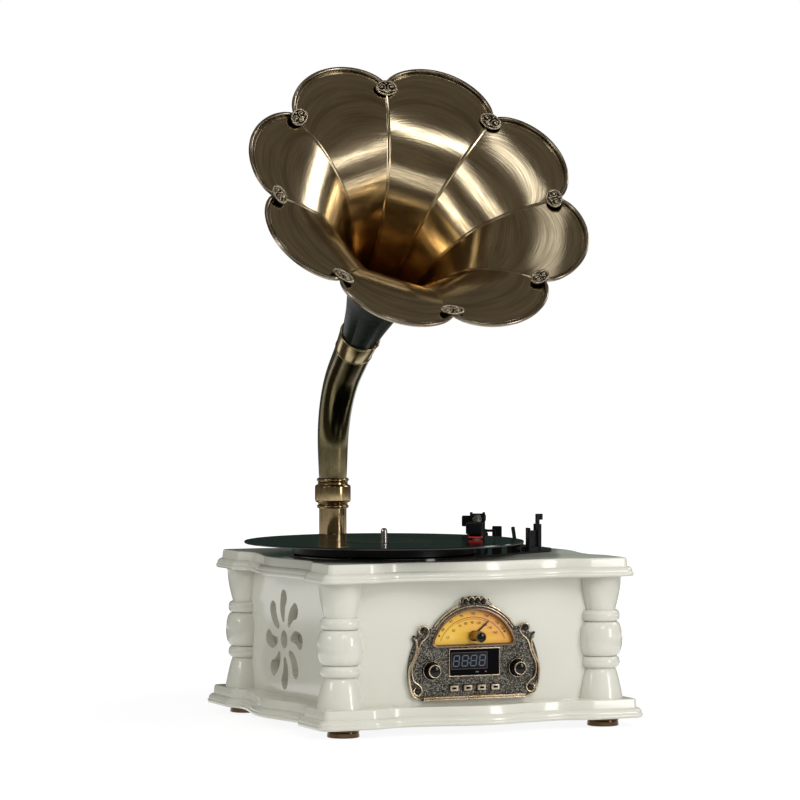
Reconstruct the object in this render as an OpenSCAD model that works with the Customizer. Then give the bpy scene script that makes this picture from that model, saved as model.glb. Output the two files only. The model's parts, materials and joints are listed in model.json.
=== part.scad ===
// Horn record player: a turntable on a turned-column cabinet, with a radio panel and a petal horn.
// Millimetres, +Z up. The origin is on the floor, midway between the four columns.
// The radio panel faces -Y, and the record turns under the horn's pipe.

/* [Cabinet] */
// Distance between the column centres across the front
column_span_x = 301; // [280:1:320]
// Distance between the column centres from front to back
column_span_y = 269; // [260:1:290]
// Height of a column, between the two boards
column_h = 131; // [130:1:150]
// Thickness of the base board and of the top board
board_t = 20; // [18:0.5:24]
// How far the base board reaches past the column centres, to the sides
base_margin_x = 37; // [36:0.5:42]
// How far the base board reaches past the column centres, to the front and back
base_margin_y = 40; // [39:0.5:46]
// How far the top board is set in from the base board's edge
top_inset = 7.5; // [5:0.5:9]
// Depth of the coves beside each corner
cove_d = 9; // [4:0.5:10]
// How far the middle of each edge bows out past the corners
bow_d = 4; // [1:0.5:6]
// Thickness of the cabinet's panels
panel_t = 9; // [8:0.5:11]
// Height of a foot
foot_h = 9.5; // [8:0.5:14]
// Radius of a foot
foot_r = 17.8; // [14:0.2:20]
// Distance of the feet's centres from front to back
foot_span_y = 285; // [270:1:290]

/* [Columns] */
// Radius of a column's ball and of its foot
ball_r = 24.4; // [22:0.2:26]
// Radius of a column's rings
ring_r = 21.6; // [20:0.2:22.6]
// Radius of a column at its notches
neck_r = 16.6; // [15:0.2:18]
// Height of the bell at a column's foot
bell_h = 32.5; // [30:0.5:36]
// Height of each ring on a column
ring_h = 12.4; // [11:0.2:13]
// Height of a column's ball
ball_h = 37.2; // [34:0.2:38]

/* [Fretwork] */
// Outer radius of the cut flower in the side panels
flower_r = 54; // [50:0.5:56]
// Radius of a petal's round head
head_r = 9; // [7:0.2:10]
// Radius of the hole in the flower's middle
flower_hole_r = 9.8; // [8:0.2:12]
// Distance of the flower behind the cabinet's middle
flower_y = 20; // [0:1:30]
// Height of the flower's middle above the base board
flower_z = 60; // [56:1:66]

/* [Turntable] */
// Spindle's place to the right of the cabinet's middle
spindle_x = -56.5; // [-60:0.5:-50]
// Spindle's place behind the cabinet's middle
spindle_y = -30; // [-36:0.5:-28]
// Radius of the spindle
spindle_r = 3.6; // [3:0.1:4]
// Height of the spindle's tip above the record
spindle_tip_h = 13.5; // [8:0.5:20]
// Diameter of the record
record_d = 301.6; // [296:0.2:302]
// Thickness of the record
record_t = 2.1; // [1.6:0.1:3]
// Radius of the platter
platter_r = 98.5; // [90:0.5:100]
// Height of the platter's rim
platter_h = 9.2; // [8:0.2:11]
// Thickness of the mat
mat_t = 2.4; // [1.6:0.2:3]
// Thickness of the deck plate
deck_t = 2; // [1.6:0.2:3]
// Radius of the ring under the platter that the belt runs on
belt_ring_r = 47; // [44:0.5:48]
// Radius of the motor's pulley
pulley_r = 6; // [5.5:0.1:6.5]

/* [Tonearm] */
// Arm pivot's place to the right of the cabinet's middle
pivot_x = 116; // [112:0.5:120]
// Arm pivot's place behind the cabinet's middle
pivot_y = 106; // [102:0.5:110]
// Length from the arm's pivot to its needle
arm_l = 173; // [170:0.5:176]
// Angle that the arm is swung in from straight ahead
arm_turn = 25.2; // [22:0.2:27]
// Radius of the arm's tube
tube_r = 3.6; // [3:0.1:4.4]
// Height of the arm's tube above the record
tube_h = 13.5; // [13:0.1:16]

/* [Horn] */
// Pipe's place to the right of the cabinet's middle
pipe_x = -47; // [-50:0.5:-42]
// Pipe's place behind the cabinet's middle
pipe_y = 139; // [138.5:0.5:139.5]
// Radius of the pipe
pipe_r = 15.4; // [13:0.1:16]
// Thickness of the pipe's wall
pipe_wall = 1.6; // [1.2:0.1:2.4]
// Height of the collar's foot above the top board
collar_z = 46; // [36:1:60]
// Height of the collar round the pipe
collar_h = 32; // [28:0.5:40]
// Length of the straight pipe above the collar
riser_l = 32.7; // [24:0.1:40]
// Radius of the elbow's bend, on its middle line
bend_r = 115; // [105:1:130]
// Angle that the horn leans from upright
horn_lean = 51; // [40:0.5:60]
// Length of the straight piece after the bend
neck_l = 33.1; // [20:0.1:40]
// Radius of the elbow at its upper end
elbow_end_r = 20.6; // [19:0.1:23]
// Length of the bell from the elbow to the notches in its rim
bell_l = 253; // [230:1:280]
// Radius of the circle through the notches in the rim
notch_r = 156; // [140:1:170]
// How far a petal reaches out past the notches
petal_reach = 29.4; // [20:0.2:34]
// How far a petal's edge reaches forward of the notches
petal_forward = 6.2; // [2:0.2:10]
// Number of petals
petals = 8; // [6:1:10]
// How flat the bell's panels are between their seams, from 0 for a round bell to 1
panel_flat = 0.92; // [0.4:0.02:1]
// Thickness of the bell's wall
bell_wall = 1.6; // [1.2:0.1:2.4]
// Angle that the horn is turned from straight ahead
horn_turn = -2.6; // [-10:0.2:10]

/* [Radio panel] */
// Thickness of the faceplate
face_t = 3.6; // [3:0.2:5]
// Radius of the arch at the faceplate's top
arch_r = 56.5; // [54:0.5:60]
// Height of the arch's middle above the base board
arch_z = 49.6; // [46:0.2:54]
// Radius of the dial
dial_r = 48.5; // [42:0.5:49]
// Height of the dial's lower edge above the arch's middle
dial_chord = 13; // [10:0.5:16]
// Half the faceplate's width at its widest
face_half_w = 75.5; // [72:0.5:80]
// Height of the faceplate's lower edge above the base board
face_z = 3.8; // [2:0.2:6]
// Width of the display's glass
display_w = 57; // [48:0.5:60]
// Height of the display's glass
display_h = 27.4; // [22:0.2:28]
// Height of the display's middle above the base board
display_z = 43.6; // [42:0.2:46]
// Distance of the side knobs from the faceplate's middle
knob_x = 49.5; // [48:0.5:52]
// Height of the side knobs above the base board
knob_z = 36; // [34:0.5:40]
// Radius of a side knob
knob_r = 7.2; // [6:0.2:8]
// Radius of the skirt round a side knob
skirt_r = 10.6; // [9:0.2:12]
// Length of a side knob
knob_l = 9.5; // [8:0.5:14]
// Radius of the tuning knob
tuning_r = 6; // [5:0.2:7]
// Length of the tuning knob
tuning_l = 20; // [14:0.5:24]
// Height of the tuning knob above the arch's middle
tuning_z = 21.4; // [19:0.2:24]
// Angle of the pointer from upright
pointer_turn = 50; // [0:1:60]
// Distance from one button to the next
button_pitch = 15.9; // [14:0.1:17]
// Width of a button
button_w = 9.6; // [8:0.2:11]
// Height of a button
button_h = 6.2; // [5:0.2:7]
// Travel of a button
button_travel = 1.5; // [1:0.1:2]

/* [Fit] */
// Clearance between pieces that are fitted together
fit = 0.2; // [0.1:0.05:0.3]
// Radial clearance of a shaft that turns in its bore
running = 0.05; // [0.02:0.01:0.1]
// Clearance between pieces that move past each other
moving = 0.4; // [0.3:0.05:0.6]

/* [Hidden] */
$fn = 64;

// Levels and edges that follow from the sizes above
base_z = foot_h;
column_z = base_z + board_t;
top_z = column_z + column_h;
deck_z = top_z + board_t;
half_x = column_span_x / 2;
half_y = column_span_y / 2;
base_half = [half_x + base_margin_x, half_y + base_margin_y];
top_half = base_half - [top_inset, top_inset];
corner_r = 13;
panel_out = 2;                       // a panel's face stands this far outside the column centres
face_y = half_y + panel_out;         // distance of the front panel's face from the middle
side_x = half_x + panel_out;
panel_gap = 0.15;

// The serpentine outline of a board: bow in the middle, a cove each side of it, then the corner
cove_at = [92, 84];                  // distance of the coves from the middle, along X and along Y
ear_at = [128, 110];                 // where the corner ears start
front_steps = 24;
side_steps = 22;
corner_steps = 4;

function wave(u, cove, ear) =
    let (a = abs(u))
    a < cove ? (bow_d + cove_d) * (1 + cos(180 * a / cove)) / 2 - cove_d
    : a < ear ? -cove_d * (1 + cos(180 * (a - cove) / (ear - cove))) / 2
    : 0;

function corner(cx, cy, from) =
    [for (i = [1:corner_steps - 1]) let (a = from + 90 * i / corner_steps)
        [cx + corner_r * cos(a), cy + corner_r * sin(a)]];

function edge_x(h, sign) =
    let (reach = h[0] - corner_r)
    [for (i = [0:front_steps]) let (u = sign * (2 * i / front_steps - 1) * reach)
        [u, -sign * (h[1] + wave(u, cove_at[0], ear_at[0]))]];

function edge_y(h, sign) =
    let (reach = h[1] - corner_r)
    [for (i = [0:side_steps]) let (u = sign * (2 * i / side_steps - 1) * reach)
        [sign * (h[0] + wave(u, cove_at[1], ear_at[1])), u]];

function outline(h) =
    let (cx = h[0] - corner_r, cy = h[1] - corner_r)
    concat(edge_x(h, 1), corner(cx, -cy, -90), edge_y(h, 1), corner(cx, cy, 0),
           edge_x(h, -1), corner(-cx, cy, 90), edge_y(h, -1), corner(-cx, -cy, 180));

function outward(p, i) =
    let (n = len(p), d = p[(i + 1) % n] - p[(i + n - 1) % n])
    [d[1], -d[0]] / norm(d);

function inset_ring(p, inset, z) =
    [for (i = [0:len(p) - 1]) let (q = p[i] - inset * outward(p, i)) [q[0], q[1], z]];

// The moulding round a board, as pairs of inset and height: bullnose, cove, upright and rounded top
nose_r = 2.6;
cove_r = 5.6;
lip = 1.4;
moulding = concat(
    [for (a = [-60:40:60]) [nose_r - nose_r * cos(a), nose_r + nose_r * sin(a)]],
    [for (a = [0:30:90]) [nose_r - nose_r * cos(60) + cove_r * (1 - cos(a)),
                          2 * nose_r - 0.2 + cove_r * sin(a)]],
    [[nose_r / 2 + cove_r + 0.6, board_t - 2 * lip], [nose_r / 2 + cove_r + 1.1, board_t - lip / 2],
     [nose_r / 2 + cove_r + 1.1 + lip, board_t]]);

// Faces between the rings of a lofted solid; the last ring joins the first where it is a loop
function loft_faces(rings, n, loop) =
    [for (j = [0:rings - (loop ? 1 : 2)], i = [0:n - 1])
        let (a = j * n + i, b = j * n + (i + 1) % n, k = ((j + 1) % rings) * n,
             c = k + (i + 1) % n, d = k + i)
        each [[a, c, b], [a, d, c]]];

module loft(rings, loop = false) {
    n = len(rings[0]);
    caps = loop ? [] : [[for (i = [0:n - 1]) i],
                        [for (i = [0:n - 1]) (len(rings) - 1) * n + n - 1 - i]];
    polyhedron([for (r = rings) each r], concat(loft_faces(len(rings), n, loop), caps),
               convexity = 8);
}

// A rounded plan shape: the outer tangents of a ring of circles [x, y, r], given anticlockwise
function tangent(a, b) =
    let (v = [b[0] - a[0], b[1] - a[1]], t = atan2(v[1], v[0]) - acos((a[2] - b[2]) / norm(v)),
         n = [cos(t), sin(t)])
    [[a[0], a[1]] + a[2] * n, [b[0], b[1]] + b[2] * n];

module rounded(circles) {
    n = len(circles);
    polygon([for (i = [0:n - 1]) each tangent(circles[i], circles[(i + 1) % n])]);
    for (c = circles) translate([c[0], c[1]]) circle(c[2]);
}

module slab(w, h, r) {
    x = w / 2 - r;
    y = h / 2 - r;
    rounded([[-x, -y, r], [x, -y, r], [x, y, r], [-x, y, r]]);
}

// Draws a flat shape on the front: its X stays X, its Y becomes height, and it reaches from
// distance near to distance far in front of the cabinet's middle
module on_front(near, far) {
    translate([0, -near, 0]) rotate([90, 0, 0]) linear_extrude(far - near) children();
}

// Columns and feet

function column_profile(grow) =
    let (vase_h = column_h - bell_h - 2 * ring_h - ball_h, z1 = bell_h, z2 = z1 + ring_h,
         z3 = z2 + ball_h, z4 = z3 + ring_h, foot = ball_r + 0.5, top = ball_r - 1.2,
         bulge = function(z, h, r) [for (i = [0:8]) let (a = 180 * i / 8)
             [neck_r + (r - neck_r) * pow(sin(a), 0.8) + grow, z + h * (1 - cos(a)) / 2]])
    concat(
        [for (i = [0:6]) let (s = 1 - i / 6) [neck_r + (foot - neck_r) * pow(s, 0.7) + grow, bell_h * (1 - s)]],
        bulge(z1, ring_h, ring_r), bulge(z2, ball_h, ball_r), bulge(z3, ring_h, ring_r),
        [for (i = [1:6]) let (s = i / 6)
            [neck_r + (top - neck_r) * (1 - pow(1 - s, 1.6)) + grow, z4 + vase_h * s]]);

module column_body(grow = 0) {
    points = column_profile(grow);
    distinct = [for (i = [0:len(points) - 1]) if (i == 0 || norm(points[i] - points[i - 1]) > 0.01) points[i]];
    translate([0, 0, column_z])
        rotate_extrude() polygon(concat([[0, 0]], distinct, [[0, column_h]]));
}

module at_corner(sx, sy) {
    translate([sx * half_x, sy * half_y, 0]) children();
}

module column(sx, sy) {
    color("ivory") at_corner(sx, sy) column_body();
}

module feet() {
    for (sx = [-1, 1], sy = [-1, 1]) foot(sx, sy);
}

module foot(sx, sy) {
    rim = 1.2;
    bead_r = 1.5;
    color("darkgoldenrod") translate([sx * half_x, sy * foot_span_y / 2, 0])
        rotate_extrude() polygon([[0, 0], [foot_r - rim - 0.6, 0], [foot_r - 0.6, rim], [foot_r - bead_r, foot_h - 2 * bead_r],
                                  [foot_r, foot_h - bead_r], [foot_r - 0.4, foot_h], [0, foot_h]]);
}

// Boards

module board_rings(half, z) {
    plan = outline(half);
    loft([for (m = moulding) inset_ring(plan, m[0], z + m[1])]);
}

module base_board() {
    color("ivory") board_rings(base_half, base_z);
}

well_r = 78;                         // the hole that the drive hangs in

module top_board() {
    plan = outline(top_half);
    centre = [spindle_x, spindle_y];
    well = [for (p = plan) let (d = p - centre, q = centre + well_r * d / norm(d)) q];
    rings = [for (m = moulding) inset_ring(plan, m[0], top_z + m[1])];
    color("ivory")
        loft(concat(rings, [[for (q = well) [q[0], q[1], deck_z]], [for (q = well) [q[0], q[1], top_z]]]), true);
}

// Panels

// A petal is a comma: a round head, a tail under a bulging arc and over a hollow one, a round tip
tail_tip = [22.6, 2.4, 4];           // middle and radius of the tip's round
tail_bulge = [36.4, -12.3, 23.9];    // middle and radius of the outer arc
tail_hollow = [24.1, -35.6, 34.1];   // middle and radius of the inner arc

module disc(c) {
    translate([c[0], c[1]]) circle(c[2]);
}

module comma() {
    head_x = flower_r - head_r;
    disc([head_x, 1, head_r]);
    disc(tail_tip);
    difference() {
        intersection() {
            disc(tail_bulge);
            translate([tail_tip[0], -head_r]) square([head_x - tail_tip[0], 3 * head_r]);
        }
        disc(tail_hollow);
    }
}

module flower() {
    circle(flower_hole_r);
    for (i = [0:7]) rotate(45 * i) comma();
}

// A panel between two columns along X, standing on the base board, with its face outwards at -Y
module panel_blank(span) {
    translate([-span / 2, -panel_t, column_z]) cube([span, panel_t, column_h]);
}

module column_cut() {
    for (sx = [-1, 1], sy = [-1, 1]) at_corner(sx, sy) column_body(panel_gap);
}

// The panel's window behind the faceplate: a broad foot with a round head
window_half_w = 54.5;
window_r = 53;
window_foot = 8;

module front_panel() {
    color("ivory") difference() {
        translate([0, -face_y + panel_t, 0]) panel_blank(column_span_x);
        column_cut();
        on_front(face_y - panel_t - 1, face_y + 1) translate([0, column_z]) {
            intersection() {
                translate([0, arch_z]) circle(window_r);
                translate([-window_r, arch_z - 3]) square(2 * window_r);
            }
            translate([-window_half_w, window_foot]) square([2 * window_half_w, arch_z - window_foot]);
        }
    }
}

module side_panel(side) {
    color("ivory") difference() {
        translate([side * (side_x - panel_t / 2) - panel_t / 2, -half_y, column_z]) cube([panel_t, column_span_y, column_h]);
        column_cut();
        translate([side * (side_x - panel_t - 1), flower_y, column_z + flower_z])
            rotate([90, 0, side * 90]) linear_extrude(panel_t + 2) flower();
    }
}

socket_x = 70;                       // the rear sockets stand this far to the right of the middle
socket_z = 30;
jack_r = 4.2;
jack_step = 22;

module rear_panel() {
    color("ivory") difference() {
        translate([0, face_y, 0]) panel_blank(column_span_x);
        column_cut();
        translate([socket_x, face_y - panel_t - 1, column_z + socket_z]) rotate([-90, 0, 0])
            linear_extrude(panel_t + 2) slab(socket_plate_w - 10, socket_plate_h - 10, 3);
    }
}

socket_plate_w = 100;
socket_plate_h = 34;
socket_plate_t = 2;

// A plate with the sockets for the supply, the line input and the two line outputs
module rear_sockets() {
    back = 14;
    proud = 5;
    color("black") translate([socket_x, face_y, column_z + socket_z]) rotate([-90, 0, 0]) difference() {
        union() {
            linear_extrude(socket_plate_t) slab(socket_plate_w, socket_plate_h, 4);
            for (i = [-1.5:1:1.5]) translate([i * jack_step, 0, -back])
                cylinder(r = jack_r, h = back + socket_plate_t + (i > 0 ? proud : 1));
        }
        for (i = [-1.5:1:1.5]) translate([i * jack_step, 0, -back + 3]) cylinder(r = i > 0 ? 1.6 : 2.8, h = 2 * back);
    }
}

// Speakers behind the fretwork

cloth_t = 0.8;
cloth_r = flower_r + 4;

module on_side(side) {
    translate([side * (side_x - panel_t), flower_y, column_z + flower_z]) rotate([0, -side * 90, 0]) children();
}

module grille_cloth(side) {
    color("tan") on_side(side) cylinder(r = cloth_r, h = cloth_t);
}

module speaker(side) {
    basket_d = 22;
    magnet_r = 22;
    magnet_h = 12;
    rim_t = 2;
    color("dimgray") on_side(side) translate([0, 0, cloth_t]) rotate_extrude()
        polygon([[0, 9], [12, 6.5], [34, 0.8], [46, 0.8], [cloth_r - 3, 0], [cloth_r - 3, rim_t], [50, rim_t + 1],
                 [30, basket_d], [magnet_r, basket_d], [magnet_r, basket_d + magnet_h], [0, basket_d + magnet_h]]);
}

// Drive: deck plate, bearing, motor, pulley, belt

deck_top = deck_z + deck_t;
platter_z = deck_top + 0.8;
mat_z = platter_z + platter_h;
record_z = mat_z + mat_t;
record_top = record_z + record_t;
motor_angle = 205;                   // where the motor stands round the spindle
motor_reach = 60;
motor = [spindle_x + motor_reach * cos(motor_angle), spindle_y + motor_reach * sin(motor_angle)];
bearing_r = 8;
bearing_l = 22;
rest_x = 123.5;
rest_y = -19;

module at_spindle(z) {
    translate([spindle_x, spindle_y, z]) children();
}

// The deck plate's plan: round under the platter, and wide enough on the right for the arm and its levers
deck_corner = 18;
arm_margin = [23, 12];               // from the arm's pivot to the middle of the corner behind it

module deck_shape() {
    far = pivot_y + arm_margin[1];
    rounded([[spindle_x, spindle_y, platter_r + 2.5], [rest_x + 3, rest_y - 5, deck_corner],
             [speed_x + 2, cue_y - 6, deck_corner + 2], [pivot_x + arm_margin[0], far, deck_corner + 4],
             [pivot_x - 2 * arm_margin[0], far, deck_corner]]);
}

module deck_plate() {
    pulley_hole_r = pulley_r + 3;
    color("black") difference() {
        translate([0, 0, deck_z]) linear_extrude(deck_t) deck_shape();
        at_spindle(deck_z - 1) cylinder(r = bearing_r, h = deck_t + 2);
        translate([motor[0], motor[1], deck_z - 1]) cylinder(r = pulley_hole_r, h = deck_t + 2);
        translate([speed_x, speed_y, deck_z - 1]) linear_extrude(deck_t + 2) slab(speed_slot_l, speed_stem + 0.8, 1);
    }
}

module bearing() {
    flange_t = 1.6;
    color("goldenrod") at_spindle(0) difference() {
        union() {
            translate([0, 0, deck_top - bearing_l]) cylinder(r = bearing_r - 0.02, h = bearing_l);
            translate([0, 0, deck_z - flange_t]) cylinder(r = bearing_r + 6, h = flange_t);
        }
        translate([0, 0, deck_top - bearing_l + 2]) cylinder(r = spindle_r + running, h = bearing_l);
    }
}

module spindle() {
    tip_r = spindle_r - 1.4;
    color("silver") at_spindle(0) rotate_extrude()
        polygon([[0, deck_top - bearing_l + 2.1], [spindle_r, deck_top - bearing_l + 2.1],
                 [spindle_r, record_top + spindle_tip_h - 3.4], [spindle_r - 0.4, record_top + spindle_tip_h - 1.6],
                 [tip_r, record_top + spindle_tip_h - 0.3], [0, record_top + spindle_tip_h]]);
}

module platter() {
    web_t = 2.6;
    skirt_t = 3;
    hub_r = 9;
    ring_t = 2.4;
    edge = 1;
    color("dimgray") at_spindle(platter_z) rotate_extrude()
        polygon([[spindle_r, 0], [hub_r, 0], [hub_r, platter_h - web_t], [belt_ring_r - ring_t, platter_h - web_t],
                 [belt_ring_r - ring_t, 1.2], [belt_ring_r, 1.2], [belt_ring_r, platter_h - web_t],
                 [platter_r - skirt_t, platter_h - web_t], [platter_r - skirt_t, 0], [platter_r - edge, 0],
                 [platter_r, edge], [platter_r, platter_h - edge], [platter_r - edge, platter_h], [spindle_r, platter_h]]);
}

module mat() {
    color("dimgray") at_spindle(mat_z) difference() {
        cylinder(r = platter_r - 1.5, h = mat_t);
        translate([0, 0, -1]) cylinder(r = spindle_r + fit, h = mat_t + 2);
    }
}

label_r = 50;
module record() {
    r = record_d / 2;
    t = record_t;
    bead = 5;
    color("black") at_spindle(record_z) rotate_extrude()
        polygon([[spindle_r + running, 0], [label_r, 0], [label_r + 0.8, 0.3], [r - bead, 0.3], [r - bead + 1.5, 0],
                 [r - 0.6, 0], [r, t / 2], [r - 0.6, t], [r - bead + 1.5, t], [r - bead, t - 0.3],
                 [label_r + 0.8, t - 0.3], [label_r, t], [spindle_r + running, t]]);
}

motor_body_r = 14;
motor_body_h = 20;
motor_gap = 3;
belt_w = 3;
belt_t = 0.9;
belt_z = platter_z + 1.8;

module drive_motor() {
    flange_t = 1.5;
    color("silver") translate([motor[0], motor[1], 0]) difference() {
        union() {
            translate([0, 0, deck_z - motor_gap - motor_body_h]) cylinder(r = motor_body_r, h = motor_body_h);
            translate([0, 0, deck_z - flange_t]) cylinder(r = motor_body_r - 1.5, h = flange_t);
            translate([0, 0, deck_z - motor_gap]) cylinder(r = motor_body_r - 3, h = motor_gap);
        }
        translate([0, 0, deck_z - motor_gap - motor_body_h + 2]) cylinder(r = 1.5 + running, h = motor_body_h + 9);
    }
}

module motor_pulley() {
    crown = 0.5;
    lip_r = pulley_r + belt_t + 0.6;
    top = platter_z + platter_h - 3.4;
    color("goldenrod") translate([motor[0], motor[1], 0]) rotate_extrude()
        polygon([[0, deck_z - motor_gap - motor_body_h + 2.2], [1.5, deck_z - motor_gap - motor_body_h + 2.2],
                 [1.5, deck_z + 0.4], [lip_r, deck_z + 0.4], [lip_r, belt_z - 0.8], [pulley_r, belt_z - 0.4],
                 [pulley_r + crown / 2, belt_z + belt_w / 2], [pulley_r, belt_z + belt_w + 0.4], [0, top]]);
}

module drive_belt() {
    gap = 0.35;
    inner = [[spindle_x, spindle_y, belt_ring_r + gap], [motor[0], motor[1], pulley_r + gap + 0.25]];
    outer = [for (c = inner) c + [0, 0, belt_t]];
    color("black") translate([0, 0, belt_z]) linear_extrude(belt_w) difference() {
        rounded(outer);
        rounded(inner);
    }
}

// Tonearm, set in its own frame: the pivot at the origin, the arm along -Y

tube_z = record_top + tube_h;
turret_r = 11;
yoke_pin_r = 3;
turret_top = tube_z + 7.5;

module at_arm(turn = -arm_turn) {
    translate([pivot_x, pivot_y, 0]) rotate(turn) children();
}

module along_arm(from, to, z) {
    translate([0, -from, z]) rotate([90, 0, 0]) cylinder(r = tube_r, h = to - from);
}

base_top = record_top - 2;
module arm_base() {
    color("black") translate([pivot_x, pivot_y, 0]) difference() {
        union() {
            translate([0, 0, deck_top]) cylinder(r = turret_r + 5, h = 4);
            translate([0, 0, deck_top]) cylinder(r = turret_r + 1, h = base_top - deck_top);
        }
        translate([0, 0, deck_top + 2]) cylinder(r = yoke_pin_r + running, h = base_top);
    }
}

// The yoke turns on the base and holds the arm between two cheeks
module arm_yoke() {
    cheek_t = 3;
    cheek_in = 5.6;
    w = 2 * (cheek_in + cheek_t);
    color("black") at_arm() difference() {
        union() {
            translate([0, 0, deck_top + 2.2]) cylinder(r = yoke_pin_r, h = base_top - deck_top);
            translate([0, 0, base_top + 0.5]) cylinder(r = turret_r, h = 3.5);
            for (s = [-1, 1]) translate([s * (cheek_in + cheek_t / 2), 0, base_top + 0.5])
                linear_extrude(turret_top - base_top - 0.5) slab(cheek_t, 16, 1);
        }
        translate([0, 0, tube_z]) rotate([0, 90, 0]) translate([0, 0, -w]) cylinder(r = 1.5 + running, h = 2 * w);
    }
}

module arm_tube() {
    collar_r = 5;
    axle_l = 17.2;
    color("silver") at_arm() {
        along_arm(-22, arm_l - 26, tube_z);
        translate([0, 7, tube_z]) rotate([90, 0, 0]) cylinder(r = collar_r, h = 14);
        translate([-axle_l / 2, 0, tube_z]) rotate([0, 90, 0]) cylinder(r = 1.5, h = axle_l);
    }
}

module counterweight() {
    color("black") at_arm() translate([0, 34, tube_z]) rotate([90, 0, 0]) difference() {
        rotate_extrude() polygon([[0, 0], [8.5, 0], [9.5, 1], [9.5, 15], [8.5, 16], [0, 16]]);
        translate([0, 0, 12]) cylinder(r = tube_r + 0.02, h = 5);
    }
}

shell_l = 40;
shell_w = 21;
module headshell() {
    z = tube_z - 7;
    color("black") at_arm() difference() {
        union() {
            translate([0, -arm_l + 12, z]) linear_extrude(11)
                rounded([[-shell_w / 2 + 6, -16, 6], [shell_w / 2 - 6, -16, 6], [5, 22, 3], [-5, 22, 3]]);
            translate([shell_w / 2 - 4, -arm_l + 2, z + 1.5]) cube([15, 9, 2.4]);
            translate([shell_w / 2 + 9, -arm_l + 2, z - 3]) cube([2, 9, 6.9]);
        }
        translate([0, -arm_l + 26, tube_z]) rotate([-90, 0, 0]) cylinder(r = tube_r + 0.02, h = 12);
        translate([-shell_w / 2 + 2.5, -arm_l - 2, z - 1]) cube([shell_w - 5, 26, 6]);
    }
}

module cartridge() {
    z = tube_z - 10.4;
    color("dimgray") at_arm() translate([0, -arm_l + 8, z]) linear_extrude(8.3) slab(14, 17, 2);
}

module stylus() {
    tip_z = record_top + 0.3;
    top = tube_z - 10.5;
    color("red") at_arm() {
        translate([-7.5, -arm_l - 1, tip_z + 1.6]) cube([15, 14, top - tip_z - 1.6]);
        translate([0, -arm_l, tip_z]) cylinder(r1 = 0.3, r2 = 1, h = 1.7);
    }
}

// Arm rest: a post with a low seat on the record's side and a clip that folds over the arm

seat_z = tube_z - tube_r - moving;

module arm_rest() {
    w = 9;
    color("black") translate([rest_x, rest_y, 0]) {
        translate([0, 0, deck_top]) linear_extrude(3) slab(18, 16, 4);
        translate([0, 0, deck_top]) linear_extrude(seat_z - deck_top - 3) slab(w, 9, 1.5);
        translate([-3.4, 0, deck_top]) linear_extrude(seat_z - deck_top) slab(2.2, 9, 0.6);
        difference() {
            translate([8, 0, deck_top]) linear_extrude(clip_z - deck_top + 2.6) difference() {
                slab(5, 12, 1);
                square([10, 5.4], center = true);
            }
            translate([8, -10, clip_z]) rotate([-90, 0, 0]) cylinder(r = clip_pin_r + running, h = 20);
        }
    }
}

clip_z = seat_z + 1.6;
clip_pin_r = 0.9;
module rest_clip() {
    color("black") translate([rest_x + 8, rest_y, 0]) {
        translate([-1.6, -2.3, clip_z - 2.2]) cube([3.2, 4.6, 15.8]);
        translate([-1.6, -2.3, clip_z + 11]) cube([7, 4.6, 2.6]);
        translate([3, -2.3, clip_z + 7]) cube([2.4, 4.6, 4.4]);
        translate([0, -6, clip_z]) rotate([-90, 0, 0]) cylinder(r = clip_pin_r, h = 12);
    }
}

// Cue lever and speed switch

cue_x = 121;
cue_y = 16;
cue_block_h = 9;
module cue_block() {
    color("black") translate([cue_x, cue_y, deck_top]) difference() {
        linear_extrude(cue_block_h) slab(14, 16, 2);
        translate([-10, 0, 5]) rotate([0, 90, 0]) cylinder(r = 1.5 + running, h = 20);
        translate([-2, -9, 2]) cube([4, 18, cue_block_h]);
    }
}

module cue_lever() {
    color("black") translate([cue_x, cue_y, deck_top + 5]) {
        translate([-7.4, 0, 0]) rotate([0, 90, 0]) cylinder(r = 1.5, h = 14.8);
        rotate([0, 90, 0]) translate([0, 0, -1.6]) cylinder(r = 2.6, h = 3.2);
        rotate([-20, 0, 0]) translate([-1.6, -1.6, 0]) cube([3.2, 3.2, 19]);
    }
}

speed_x = 138;
speed_y = 44;
speed_stem = 3;
speed_slot_l = 18;
speed_travel = 6;
module speed_switch() {
    color("gray") translate([speed_x, speed_y, 0]) {
        translate([0, 0, deck_z + 0.3]) linear_extrude(deck_t + 1) slab(5, speed_stem, 0.8);
        translate([0, 0, deck_top + 0.4]) linear_extrude(3.4) slab(8, 7, 1.6);
        translate([0, 0, deck_top + 3.8]) linear_extrude(2) slab(3, 7, 1);
    }
}

// Horn. It is modelled straight ahead, with the pipe's axis through the origin, and then turned

module at_pipe() {
    translate([pipe_x, pipe_y, 0]) children();
}

collar_foot = deck_z + collar_z;
collar_top = collar_foot + collar_h;
bend_z = collar_top + riser_l;
bore_r = pipe_r - pipe_wall;

module horn_socket() {
    flange_r = pipe_r + 1.8;
    sleeve_r = pipe_r + 1.2;
    sleeve_h = 8;
    floor_t = 2;
    color("darkgoldenrod") at_pipe() rotate_extrude()
        polygon([[bore_r - 1, deck_z], [flange_r, deck_z], [flange_r, deck_z + 2], [sleeve_r, deck_z + 3],
                 [sleeve_r, deck_z + sleeve_h], [pipe_r + 0.05, deck_z + sleeve_h], [pipe_r + 0.05, deck_z + floor_t],
                 [bore_r - 1, deck_z + floor_t]]);
}

pipe_top = collar_foot + 17;
module horn_pipe() {
    color("darkgoldenrod") at_pipe() difference() {
        translate([0, 0, deck_z + 2]) cylinder(r = pipe_r, h = pipe_top - deck_z - 2);
        translate([0, 0, deck_z]) cylinder(r = bore_r, h = collar_foot);
    }
}

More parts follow.
